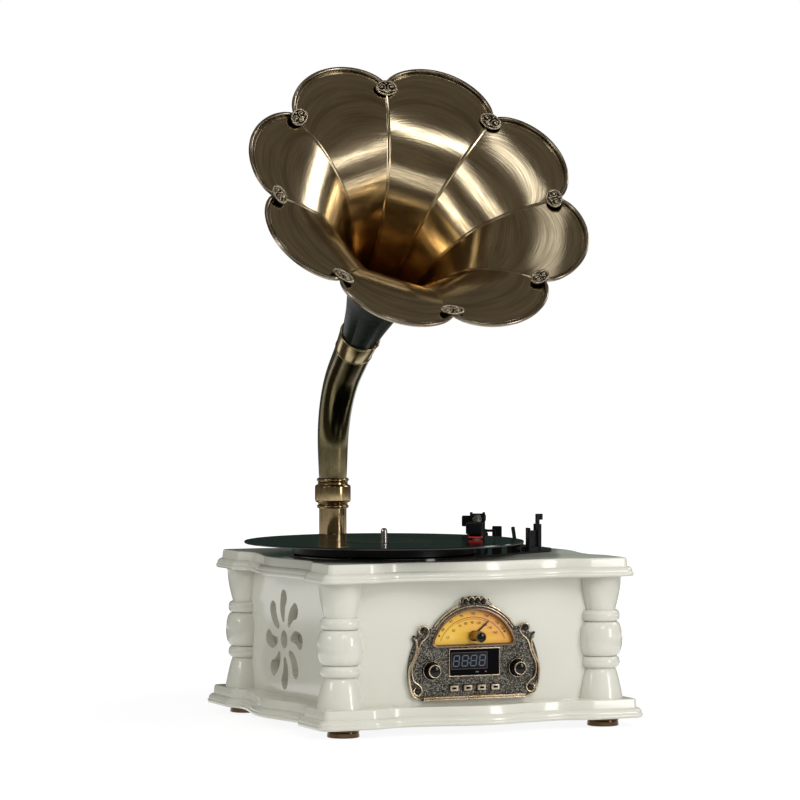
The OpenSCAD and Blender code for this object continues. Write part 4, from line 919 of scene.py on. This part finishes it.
# A smooth path through a few points, each stretch a cubic led by its neighbours.
def through(points, steps):
    p = np.asarray(points, float)
    p = np.concatenate([2 * p[:1] - p[1:2], p, 2 * p[-1:] - p[-2:-1]])
    t = np.linspace(0, 1, steps, endpoint=False)[None, :, None]
    a, b, c, d = (p[k:len(p) - 3 + k][:, None] for k in range(4))
    curve = (2 * a - 5 * b + 4 * c - d) * t ** 2 + (3 * b - a - 3 * c + d) * t ** 3
    path = b + 0.5 * ((c - a) * t + curve)
    return np.concatenate([path.reshape(-1, p.shape[1]), p[-2:-1]])


# The dial's half moon, its two corners rounded by a curve between the chord and the arc.
def dialLoop(grow):
    radius, low, cut = face["dialR"] + grow, face["chord"] - grow, face["corner"] + grow
    half = math.sqrt(radius ** 2 - low ** 2)
    first = math.degrees(math.asin(low / radius) + cut / radius)
    over = arc((0, 0), radius, first, 180 - first, 120)
    right = bent(np.array([half - cut, low]), np.array([half, low]), over[0], 8)[:-1]
    return np.concatenate([right, over, right[::-1] * [-1, 1]]) + [0, face["archZ"]]


# A rectangle with a quarter of a circle at each corner.
def boxLoop(x, up, width, height, radius):
    reach, rise = width / 2 - radius, height / 2 - radius
    quarters = ((1, 1, 0), (-1, 1, 90), (-1, -1, 180), (1, -1, 270))
    return np.concatenate([arc((x + sx * reach, up + sy * rise), radius, start, start + 90, 5)
                           for sx, sy, start in quarters])


# Discs of the plate's outline: the scrolls and the leaf of each side, the crest's four lobes and the arch.
scrolls = {"upper": (58.5, face["archZ"] + 27.4, 5.4), "lower": (face["halfW"] - 10, face["foot"] + 9.6, 5.4),
           "leaf": (face["halfW"] - 8.6, face["foot"] + 65.4, 3.5)}
crest = {"leans": (-9.9, -3.3, 3.3, 9.9), "away": 3.6, "r": 3.5}


# The first flat vector times the second across it: x1 y2 - y1 x2.
def crossed(first, second):
    return first[:, 0] * second[:, 1] - first[:, 1] * second[:, 0]


# The plate's outline is what a ray from the middle of the plate meets last: a disc, the arch or the side
# curve, a cubic led by four points.
def plateOutline():
    middle = np.array([0, 36.0])
    angle = np.linspace(0, 2 * np.pi, 1441)[:-1]
    ray = np.stack([np.cos(angle), np.sin(angle)], -1)
    reach = np.zeros_like(angle)
    discs = [(side * x, up, r) for x, up, r in scrolls.values() for side in (-1, 1)]
    discs += [(*archPoint(face["archR"] + crest["away"], lean), crest["r"]) for lean in crest["leans"]]
    discs.append((0, face["archZ"], face["archR"]))
    for x, up, r in discs:
        off = np.array([x, up]) - middle
        along = ray @ off
        inside = along * along - off @ off + r * r
        far = along + np.sqrt(np.maximum(0, inside))
        upward = (r < face["archR"]) | (ray[:, 1] > 0)
        reach = np.maximum(reach, np.where((inside > 0) & (far > 0) & upward, far, 0))
    w, f = face["halfW"], face["foot"]
    t = np.linspace(0, 1, 40)[:, None]
    a, b, c, d = np.array(((w - 8, f + 6), (w + 3.5, f + 22), (w + 2, f + 42), (w - 7, f + 61)))
    side = (1 - t) ** 3 * a + 3 * (1 - t) ** 2 * t * b + 3 * (1 - t) * t ** 2 * c + t ** 3 * d
    ear = [[61.5, face["archZ"] + 30.4], [46.5, face["archZ"] + 30]]
    right = np.concatenate([[[0, f], [w - 17, f]], side, ear])
    loop = np.concatenate([right, right[::-1] * [-1, 1]]) - middle
    loop = loop[np.argsort(np.arctan2(loop[:, 1], loop[:, 0]) % (2 * np.pi))]
    bearing = np.arctan2(loop[:, 1], loop[:, 0]) % (2 * np.pi)
    k = np.searchsorted(bearing, angle, side="right") - 1
    edge = np.roll(loop, -1, 0)[k] - loop[k]
    reach = np.maximum(reach, crossed(loop[k], edge) / crossed(ray, edge))
    return middle + ray * reach[:, None]


# The faceplate, with holes for the dial, the display, the buttons and the shafts of the side knobs.
holes = [dialLoop(0), boxLoop(0, face["displayZ"], face["displayW"] + 0.4, face["displayH"] + 0.4, 0.3)]
buttonXs = [(i - 1.5) * face["pitch"] for i in range(4)]
holes += [boxLoop(x, face["buttonZ"], face["buttonW"] + 0.8, face["buttonH"] + 0.8, 0.4) for x in buttonXs]
holes += [arc((side * face["knobX"], face["knobZ"]), face["shaft"], 0, 354, 60) for side in (-1, 1)]
faceplate = plateMesh([plateOutline()] + holes, plateNear, plateFar, 0.4)
piece("faceplate", joined([faceplate]), [stippledPewter], ["faceplate"])


# Brass lines of the casting: an S up each side from the lower scroll to the ear, a second one crossing it,
# the arch's two rims, the horns beside the crest and the scalloped line over it. A stroke has a line, its
# half width and the share of that left at its ends. A hoop has two angles, its distance inside the arch and
# its half width.
lines = {"inner": [(68.2, 18.0), (70.0, 15.0), (68.4, 11.4), (64.4, 10.3), (61.2, 13.2), (61.0, 17.6),
                   (64.4, 21.6), (69.2, 25.1), (71.5, 31.7), (71.9, 38.3), (70.6, 43.5), (67.9, 48.6),
                   (65.8, 53.8), (64.2, 60.3), (61.3, 66.0), (56.6, 70.2), (53.0, 75.2), (53.6, 80.6),
                   (58.2, 82.9), (62.7, 81.2), (63.6, 77.0), (61.0, 74.2)],
         "outer": [(62.5, 6.4), (68.6, 8.6), (72.0, 13.6), (74.4, 22.5), (75.3, 31.9), (74.4, 39.7),
                   (71.4, 46.1), (68.4, 52.5), (66.8, 59.0), (66.3, 65.0), (67.6, 69.0), (70.4, 70.8)],
         "horn": [(30.5, 97.2), (26.0, 99.9), (21.4, 102.4), (18.2, 105.6), (15.9, 110.2)],
         "strokes": (("inner", 1.1, 0.5), ("outer", 1.1, 0.4), ("horn", 0.9, 0.35)),
         "hoops": ((35, 72, 0.6, 0.9), (33, 92, 3.2, 0.8)), "proud": 0.75, "cross": 0.7}


# The lines' tubes: strokes thin towards their ends, the outer one rises over the inner by a sine of the way,
# and the line over the crest has four scallops by a power of a sine.
def linePatches():
    made = []
    lift = plateFar + lines["proud"]
    for side in (-1, 1):
        for name, width, ends in lines["strokes"]:
            path = through(lines[name], 8) * [side, 1]
            t = np.linspace(0, 1, len(path))
            taper = width * (ends + (1 - ends) * np.minimum(1, np.minimum(t, 1 - t) * 14))
            rise = lift + (lines["cross"] if name == "outer" else 0) * np.sin(np.pi * t)
            made.append(panelTube(path, rise, taper, 1.5))
        for start, end, inside, width in lines["hoops"]:
            path = arc((0, face["archZ"]), face["archR"] - inside, start, end, 60) * [side, 1]
            made.append(panelTube(path, lift, width, 1.4))
    t = np.linspace(0, 1, 97)
    away = face["archR"] + 2.6 + 3.6 * np.abs(np.sin(np.pi * 4 * t)) ** 0.7
    made.append(panelTube(archPoint(away, -13.6 + 27.2 * t), lift + 0.8, 0.7, sides=8))
    return made


# The moulded strip along the plate's foot: one profile of (up, out) drawn across and closed at both ends.
def stripPatch():
    steps = np.array([(0, 0), (0, 2.0), (0.6, 2.8), (1.6, 2.9), (2.3, 2.3), (2.6, 1.7), (3.0, 2.4),
                      (3.8, 2.6), (4.7, 2.0), (5.2, 1.2), (5.2, 0), (0, 0)])
    middle = np.broadcast_to([2.6, 1.0], steps.shape)
    rows = [np.column_stack([np.full(len(steps), x), face["foot"] + up, plateFar - 0.1 + out])
            for x, (up, out) in ((-59, middle.T), (-59, steps.T), (59, steps.T), (59, middle.T))]
    return patch(facePlace(np.array(rows)))


piece("brassLines", solid(linePatches() + [stripPatch()], 50), [lineBrass], on="faceplate")


# Balls in the scrolls, a bud on each ear and the crest's four dark lobes, as across, up, half width, half
# height and lift.
balls = ((58.4, 78.4, 2.5, 2.7, 2.9), (65.4, 14.6, 2.4, 2.6, 2.8), (69.6, 72.6, 1.7, 1.2, 1.6))
crestBall = {"away": 2.4, "size": (2.5, 3.3, 3.2)}


# A ball with three half axes, its middle on the plate's face.
def faceBall(x, up, wide, high, lift):
    a = np.linspace(0, np.pi, 16)[:, None]
    t = np.linspace(0, 2 * np.pi, 25)[None]
    across, above = np.sin(a) * np.cos(t), np.sin(a) * np.sin(t)
    out = lift * np.cos(a) + 0 * t
    return patch(facePlace(np.stack([x + wide * across, up + high * above, plateFar + out], -1)))


ballPatches = [faceBall(side * x, *rest) for side in (-1, 1) for x, *rest in balls]
ballPatches += [faceBall(*archPoint(face["archR"] + crestBall["away"], lean), *crestBall["size"])
                for lean in crest["leans"]]
piece("scrollBalls", solid(ballPatches, 60), [darkBrass], on="faceplate")


# The dial: an amber plate with a rounded glossy rim, printed arcs, marks and plain numbers. A row of numbers
# has its distance from the arch's middle, the figures' height, how far they lean with the dial, and where
# each of them stands.
dial = {"rim": 1.75, "rimGrow": 1.6, "plateGrow": 2.2, "deep": 1.8, "ink": 0.12, "arcR": 41.2, "spotR": 44.6,
        "spotAt": (-60, 56),
        "rows": ((44.6, 4.0, 0.75, ((-50, "88"), (-34, "92"), (-17, "96"), (0, "100"), (20, "104"),
                                    (39, "106"), (50, "108"))),
                 (35.2, 3.8, 0.15, ((-55, "53"), (-39, "60"), (-25, "70"), (-13, "80"), (-1, "90"),
                                    (11, "100"), (23, "120"), (34, "140"), (47, "160"))))}
dialRim = panelTube(dialLoop(dial["rimGrow"]), plateFar + 0.2, dial["rim"], 1.15, 14, True)
piece("dialRim", solid([dialRim], 60), [rimGloss], on="faceplate")
amberLoops = [dialLoop(dial["plateGrow"]), arc((0, knobUp), face["shaft"], 0, 354, 60)]
amberPlate = plateMesh(amberLoops, plateNear - dial["deep"], plateNear, 0.1)
piece("dialPlate", joined([amberPlate]), [dialAmber], ["dial_plate"])


# A band round the arch's middle: the outer arc there, the inner one back.
def bandLoop(radius, width, start, end):
    middle = (0, face["archZ"])
    return np.concatenate([arc(middle, radius + width / 2, start, end, 80),
                           arc(middle, radius - width / 2, end, start, 80)])


# The print: two arcs, a spot at each end, a tick every four degrees, and the numbers.
def dialPrint():
    out, ink = plateNear + 0.02, dial["ink"]
    loops = [bandLoop(dial["arcR"], 0.42, 25, 155), bandLoop(dial["arcR"] - 2.1, 0.3, 62, 118)]
    loops += [arc(archPoint(dial["spotR"], lean), 1.1, 0, 345, 24) for lean in dial["spotAt"]]
    made = [plateMesh([loop], out, out + ink, 0.02) for loop in loops]
    tick = np.array([[-0.14, 0], [0.14, 0], [0.14, 1.1], [-0.14, 1.1]]) + [0, dial["arcR"] - 1.4]
    for lean in range(-64, 65, 4):
        across, up = spun(*tick.T, -math.radians(lean))
        made.append(plateMesh([np.stack([across, face["archZ"] + up], -1)], out, out + 0.1, 0.01))
    for away, size, follow, names in dial["rows"]:
        made += [wordMesh(text, size, archPoint(away, lean), -lean * follow, out + ink / 2, ink)
                 for lean, text in names]
    return made


piece("dialPrint", joined(dialPrint()), [dialInk], on="dial_plate")
print("faceplate and dial made")


# The display: a thin brass frame, a dim panel with a border, two marks, and four figures of seven bars.
display = {"frame": 1.25, "middle": (-5.4, 45.0), "panel": (40.4, 16.6), "border": 0.6, "figureW": 6.4,
           "figureH": 11.0, "bar": 1.0, "slant": 0.12, "step": 10.0, "first": -20.4, "dotUp": 2.2,
           "dotR": 0.6, "markZ": 33.0, "markH": 1.3, "marks": ((3.6, 3.6), (13.6, 1.8))}


# A frame's two loops: the size plus a margin all round, and in it the size plus a little play as its hole.
def frameLoops(x, up, size, margin, play, outerR, innerR):
    return [boxLoop(x, up, size[0] + 2 * margin, size[1] + 2 * margin, outerR),
            boxLoop(x, up, size[0] + play, size[1] + play, innerR)]


# A bar with pointed ends: it runs from the first spot to the second, a quarter of a millimetre short of both.
def barLoop(x0, y0, x1, y1, half):
    first, last = np.array([x0, y0]), np.array([x1, y1])
    along = (last - first) / np.linalg.norm(last - first)
    side = np.array([-along[1], along[0]]) * half
    first, last = first + along * 0.25, last - along * 0.25
    near, far = first + along * half, last - along * half
    return np.array([first, near + side, far + side, last, far - side, near - side])


# Four figures of seven bars, each leaned over by its height times the slant, and two dots in their middle.
def figureLoops():
    wide, high, slant, up = display["figureW"], display["figureH"] / 2, display["slant"], display["middle"][1]
    bars = [(0, y, wide, y) for y in (-high, 0, high)]
    bars += [(x, y, x, y + high) for x in (0, wide) for y in (-high, 0)]
    loops = []
    for i in range(4):
        for bar in bars:
            across, above = barLoop(*bar, display["bar"] / 2).T
            start = display["first"] - wide / 2 + i * display["step"]
            loops.append(np.stack([start + across + above * slant, up + above], -1))
    for y in (-display["dotUp"], display["dotUp"]):
        middle = (display["first"] + 1.5 * display["step"] + y * slant, up + y)
        loops.append(arc(middle, display["dotR"], 0, 340, 18))
    return loops


frameSize = (face["displayW"], face["displayH"])
displayFrame = frameLoops(0, face["displayZ"], frameSize, display["frame"], 0, 0.5, 0.3)
piece("displayFrame", joined([plateMesh(displayFrame, plateFar, plateFar + 1.6, 0.35)]), [lineBrass],
      ["display_bezel"])
dimLoop = boxLoop(*display["middle"], *display["panel"], 0.2)
dimPanel = plateMesh([dimLoop], plateFar + 0.01, plateFar + 0.08, 0.02)
borderLoops = frameLoops(*display["middle"], display["panel"], display["border"], 0.2, 0.3, 0.2)
border = plateMesh(borderLoops, plateFar + 0.01, plateFar + 0.14, 0.02)
figures = [plateMesh([loop], plateFar + 0.12, plateFar + 0.22, 0.02) for loop in figureLoops()]
markLoops = [boxLoop(x, display["markZ"], wide, display["markH"], 0.2) for x, wide in display["marks"]]
figures += [plateMesh([loop], plateFar + 0.02, plateFar + 0.12, 0.02) for loop in markLoops]
piece("displayPanel", joined([dimPanel]), [displayBlue], on="display_window")
piece("displayBorder", joined([border]), [displayEdge], on="display_window")
piece("displayFigures", joined(figures), [displayGhost], on="display_window")


# Knobs: turned bodies with a brass ring at the front and a domed black cap. The side knobs have a wide skirt.
knob = {"r": 7.2, "long": 10.5, "skirt": 10.6, "gap": 0.4, "shaftR": 3.0, "tuningGap": 2.6,
        "tuningLong": 20.0}
potBack = plateNear - cabinet["panel"] - 8.2 - 7.0  # the back of the housings that the shafts turn in


# A patch turned round a line out of the panel, from a profile of (radius, out).
def faceTurned(profile, spot, out, slotIndex):
    x, up, far = np.moveaxis(turned(profile, 72), -1, 0)
    return patch(facePlace(np.stack([spot[0] + x, spot[1] + up, out + far], -1)), slotIndex)


# A side knob: body with a domed cap, ring and shaft, and a skirt with a thin hoop on it.
def sideKnob(side):
    r, long, skirt, out = knob["r"], knob["long"], knob["skirt"], plateFar + knob["gap"]
    spot, back = (side * face["knobX"], face["knobZ"]), potBack - out
    body = [[0, 0.4], [r - 0.5, 0.4], [r - 0.1, 1.0], [r - 0.5, long - 2.4], [r - 0.5, long - 0.9],
            *arc((0, long - 0.9), (r - 1.3, 1.3), 0, 90, 9)]
    ringFoot = [r - 1.6, long - 1.6]
    ring = [ringFoot, *arc((r - 0.75, long - 0.8), (0.75, 0.85), -90, 135, 12), ringFoot]
    shaft = [[0, back], [knob["shaftR"], back], [knob["shaftR"], 0.5], [0, 0.5]]
    base = [[0, 0], [skirt - 0.4, 0], [skirt, 0.4], [skirt, 1.2], [skirt - 0.5, 1.8], [skirt - 1.4, 2.0],
            [skirt - 2.2, 1.5], [skirt - 3.0, 1.4], [0, 1.4]]
    hoop = arc((skirt - 0.9, 1.95), 0.38, 0, 360, 13)
    profiles = ((body, 0), (ring, 1), (shaft, 0), (rounded(base, 0.3), 0), (hoop, 1))
    return [faceTurned(profile, spot, out, slotIndex) for profile, slotIndex in profiles]


# The tuning knob: a barrel with a collar at the foot and a flared mouth, a low cap in it and a shaft behind.
def tuningKnob():
    out, long = plateNear + knob["tuningGap"], knob["tuningLong"]
    side = rounded([[5.0, 0.2], [5.8, 0.2], [5.8, 2.0], [5.2, 2.6], [5.2, long - 3.5], [6.0, long - 2.6],
                    [6.0, long - 0.6], [5.4, long], [4.7, long - 0.4], [4.7, long - 1.6],
                    [4.0, long - 1.6]], 0.3)
    barrel = [[0, 0.2], *side, [0, long - 1.6]]
    cap = [[0, long - 1.5], [4.7, long - 1.5], *arc((0, long - 1), (4.7, 1.0), 0, 90, 9)]
    shaft = [[0, potBack - out], [knob["shaftR"], potBack - out], [knob["shaftR"], 0.3], [0, 0.3]]
    profiles = ((barrel, 1), (cap, 0), (shaft, 0))
    return [faceTurned(profile, (0, knobUp), out, slotIndex) for profile, slotIndex in profiles]


for name, side in (("left_knob", -1), ("right_knob", 1)):
    piece(name + "Turned", solid(sideKnob(side), 45), [knobGloss, lineBrass], [name])
piece("tuningKnobTurned", solid(tuningKnob(), 45), [knobGloss, knobSide], ["tuning_knob"])


# Buttons: soft-edged brass blocks with a dark slot in the face and a stem behind.
button = {"deep": 2.0, "proud": 3.0, "stem": (4.0, 3.6), "stemBack": 2.5, "slot": (5.0, 2.3)}
for number, x in enumerate(buttonXs, 1):
    name = "button_" + str(number)
    back, front = plateNear - button["deep"], plateFar + button["proud"]
    block = plateMesh([boxLoop(x, face["buttonZ"], face["buttonW"], face["buttonH"], 0.8)], back, front, 0.7)
    stem = plateMesh([boxLoop(x, face["buttonZ"], *button["stem"], 0.3)],
                     plateNear - cabinet["panel"] - button["stemBack"], back, 0.1)
    piece(name + "Block", joined([block, stem]), [buttonBrass], [name])
    slot = plateMesh([boxLoop(x, face["buttonZ"], *button["slot"], 0.5)], front - 0.1, front + 0.08, 0.03)
    piece(name + "Slot", joined([slot]), [displayBlack], on=name)
print("display, knobs and buttons made")


# The tonearm's weight behind the pivot, the housing beside it and the lift's block on the deck. The housing's
# box is across, up, width and height; the block has its place across and its height.
arm = {"pivot": (116.0, 106.0), "turn": -25.2, "up": 13.5, "weight": (0, 0, 18.6, 9.6),
       "weightRun": (-34.0, -18.0), "housing": (-13.1, -2.2, 9.2, 11.8), "housingHalf": 7.0, "liftX": 22.0,
       "liftW": 11.0, "liftH": 20.0, "liftHalf": 5.5}


# The arm's frame: across, up from its middle line, and ahead from the pivot.
def armPlace(points):
    x, up, ahead = np.moveaxis(np.asarray(points, float), -1, 0)
    across, back = spun(x, -ahead, math.radians(arm["turn"]))
    return np.stack([arm["pivot"][0] + across, arm["pivot"][1] + back, recordTop + arm["up"] + up], -1) * mm


# A soft-edged block of the arm: a box of (across, up, width, height), from one place ahead to another.
def armBlock(box, corner, start, end, bevel):
    return joined([plateMesh([boxLoop(*box, corner)], start, end, bevel, armPlace)])


liftUp = deckZ + deck["plate"] - recordTop - arm["up"] + arm["liftH"] / 2
liftBox = (arm["liftX"], liftUp, arm["liftW"], arm["liftH"])
piece("armWeight", armBlock(arm["weight"], 3.0, *arm["weightRun"], 1.0), [armBlack], ["counterweight"])
piece("armHousing", armBlock(arm["housing"], 1.2, -arm["housingHalf"], arm["housingHalf"], 0.5), [armBlack],
      on="arm_yoke")
piece("liftBlock", armBlock(liftBox, 1.4, -arm["liftHalf"], arm["liftHalf"], 0.5), [armBlack], on="arm_base")
print("arm weight, housing and lift block made")


# Every other node keeps its own solid and takes its finish here, by its slot.
finishes = {
    "dark_brass": pipeBrass, "horn_brass": rimBrass, "cream_lacquer": creamLacquer, "arm_black": armBlack,
    "pewter": stippledPewter, "dial_amber": dialAmber, "display_black": displayBlack, "trim_brass": lineBrass,
    "knob_black": knobGloss, "vinyl": vinylDisc(),
    "speaker_cloth": simple("speakerCloth", (0.36, 0.33, 0.27), 0.9),
    "speaker_metal": simple("speakerMetal", (0.03, 0.03, 0.03), 0.5),
    "deck_black": simple("deckBlack", (0.004, 0.005, 0.005), 0.1, depth=0.000004),
    "bearing_brass": simple("bearingBrass", (0.6, 0.45, 0.2), 0.3, 1.0),
    "steel": simple("steel", (0.6, 0.6, 0.6), 0.25, 1.0),
    "platter_aluminium": simple("platterBlack", (0.003, 0.003, 0.004), 0.35, gloss=0.15),
    "rubber": simple("rubber", (0.02, 0.02, 0.02), 0.7),
    # The stylus glows by emission: painted light, so that it reads bright red in the shade of the headshell.
    "stylus_red": simple("stylusRedPaintedGlow", (0.75, 0.02, 0.015), 0.3, Emission_Color=(0.8, 0.02, 0.015, 1),
                         Emission_Strength=0.35),
    "pointer_black": simple("pointerBlack", (0.01, 0.01, 0.01), 0.4),
    "socket_black": simple("socketBlack", (0.02, 0.02, 0.02), 0.5),
    "circuit_green": simple("circuitGreen", (0.02, 0.12, 0.05), 0.5),
}
for name, node in nodes.items():
    node.data.materials.clear()
    node.data.materials.append(finishes[slotOf[name]].material)
print("finishes given")


# Camera, from the perspective of the photograph: the focal length is in pixels of a picture of that width.
camera = {"focal": 3690.0, "picture": 800, "sensor": 36, "yaw": 23.28, "pitch": 1.0, "distance": 4021.72,
          "side": -22.86, "height": 417.65}


# The camera stands back from the middle of the floor, along its own level direction.
def placeCamera():
    yaw, pitch = math.radians(camera["yaw"]), math.radians(camera["pitch"])
    right = Vector((math.cos(yaw), -math.sin(yaw), 0))
    level = Vector((math.sin(yaw), math.cos(yaw), 0))
    data = bpy.data.cameras.new("camera")
    data.lens = camera["focal"] * camera["sensor"] / camera["picture"]
    data.sensor_width = camera["sensor"]
    data.clip_start, data.clip_end = 0.1, 40
    made = linked("camera", data)
    place = Vector((0, 0, camera["height"])) - camera["distance"] * level + camera["side"] * right
    aimed(made, place * mm, math.cos(pitch) * level - Vector((0, 0, math.sin(pitch))))
    bpy.context.scene.camera = made


placeCamera()


# Lamps, as azimuth from the front and elevation in degrees, size in metres, and brightness. They stand on a
# ball round the object. The soft ones light it, and aren't seen in the brass.
lamps = {
    "keySoft": (12, 35, (2.2, 1.6), 3.0), "leftSoft": (-85, 20, (1.4, 1.4), 2.0),
    "key": (34, 3, (0.5, 0.9), 8.0), "stripFront": (-2, 25, (0.9, 0.28), 5.0),
    "stripRight": (45, 9, (0.5, 0.16), 2.6), "stripSide": (90, 29, (0.9, 0.42), 6.5),
    "stripBehind": (104, 15, (0.4, 0.2), 4.0), "stripLeft": (-80, 14, (0.7, 0.36), 6.0),
    "stripHigh": (-57, 37, (0.5, 0.24), 3.5), "stripTop": (-22, 62, (0.7, 0.3), 2.2),
    "top": (0, 84, (0.8, 0.5), 0.8),
}
studio = {"aim": (-0.02, -0.03, 0.45), "distance": 2.6, "sky": (0.27, 0.28, 0.27), "floorHalf": 6.0,
          "glow": 1.12, "shadowTo": (0.35, 0.9), "seenNear": 0.8}


# A lamp's power is its brightness times pi times its area.
def softbox(name, azimuth, elevation, size, brightness):
    a, e = math.radians(azimuth), math.radians(elevation)
    data = bpy.data.lights.new(name, "AREA")
    data.shape = "RECTANGLE"
    data.size, data.size_y = size
    data.energy = brightness * math.pi * size[0] * size[1]
    made = linked(name, data)
    away = Vector((math.sin(a) * math.cos(e), -math.cos(a) * math.cos(e), math.sin(e)))
    aimed(made, Vector(studio["aim"]) + studio["distance"] * away, -away)
    made.visible_glossy = not name.endswith("Soft")


# The world is white where it is seen, and gives a plain grey light.
def world():
    made = bpy.data.worlds.new("studio")
    bpy.context.scene.world = made
    made.use_nodes = True
    graph = Graph(made.node_tree)
    sky = graph.blended(graph.seenRays(), studio["sky"], (1, 1, 1))
    graph.tree.links.new(sky.socket, graph.tree.nodes["Background"].inputs["Color"])


# A surface of the studio, which is no part of the object.
def staged(name, points, finish):
    mesh = solid([patch(points)], outward=False)
    mesh.materials.append(finish.material)
    made = linked(name, mesh)
    return made


# The floor glows white where it is seen, all the more away from the object, and near it keeps its shadow.
def floor():
    size = studio["floorHalf"]
    finish = Finish("floorWhite", (0.86, 0.86, 0.86), Roughness=0.7)
    glow = finish.node("ShaderNodeEmission", sockets={"Color": (1, 1, 1, 1), "Strength": studio["glow"]})
    away = finish.node("ShaderNodeVectorMath", {"operation": "LENGTH"}, {0: finish.place()}, "Value")
    seen = finish.seenRays() * finish.fitted(away, *studio["shadowTo"], studio["seenNear"], 1.0)
    plain = Wire(finish.tree, finish.shader.outputs[0])
    mixed = finish.node("ShaderNodeMixShader", sockets={"Fac": seen, 1: plain, 2: glow})
    finish.tree.links.new(mixed.socket, finish.tree.nodes["Material Output"].inputs["Surface"])
    staged("floor", [[[-size, -size, 0], [size, -size, 0]], [[-size, size, 0], [size, size, 0]]], finish)


# Dark cards stand round the object and over it, mirrored in the horn: they cast no shadow and hide nothing.
def card(name, color, points):
    finish = Finish(name, (0.01, 0.01, 0.01), Roughness=1.0, Emission_Color=(*color, 1),
                    Emission_Strength=1.0)
    made = staged(name, points, finish)
    made.visible_camera = False
    made.visible_diffuse = False
    made.visible_shadow = False


# An upright card: a rectangle between two points of the floor, up to that height.
def upright(left, right, top):
    return [[[*left, 0.02], [*right, 0.02]], [[*left, top], [*right, top]]]


world()
floor()
card("cardBrown", (0.105, 0.088, 0.066), turned([[3.4, 0.02], [3.4, 2.7], [0.001, 3.3]], 48))
card("cardLow", (0.055, 0.042, 0.026), turned([[0.5, 0.003], [1.45, 0.003]], 48))
card("cardGreen", (0.010, 0.024, 0.017), upright((0.1, 3.2), (1.44, 2.62), 1.2))
card("cardGrey", (0.22, 0.26, 0.21), upright((1.44, 2.62), (1.9, 2.38), 0.8))
for name, lamp in lamps.items():
    softbox(name, *lamp)
bpy.context.scene.view_settings.view_transform = "Standard"
print("camera and lights placed")
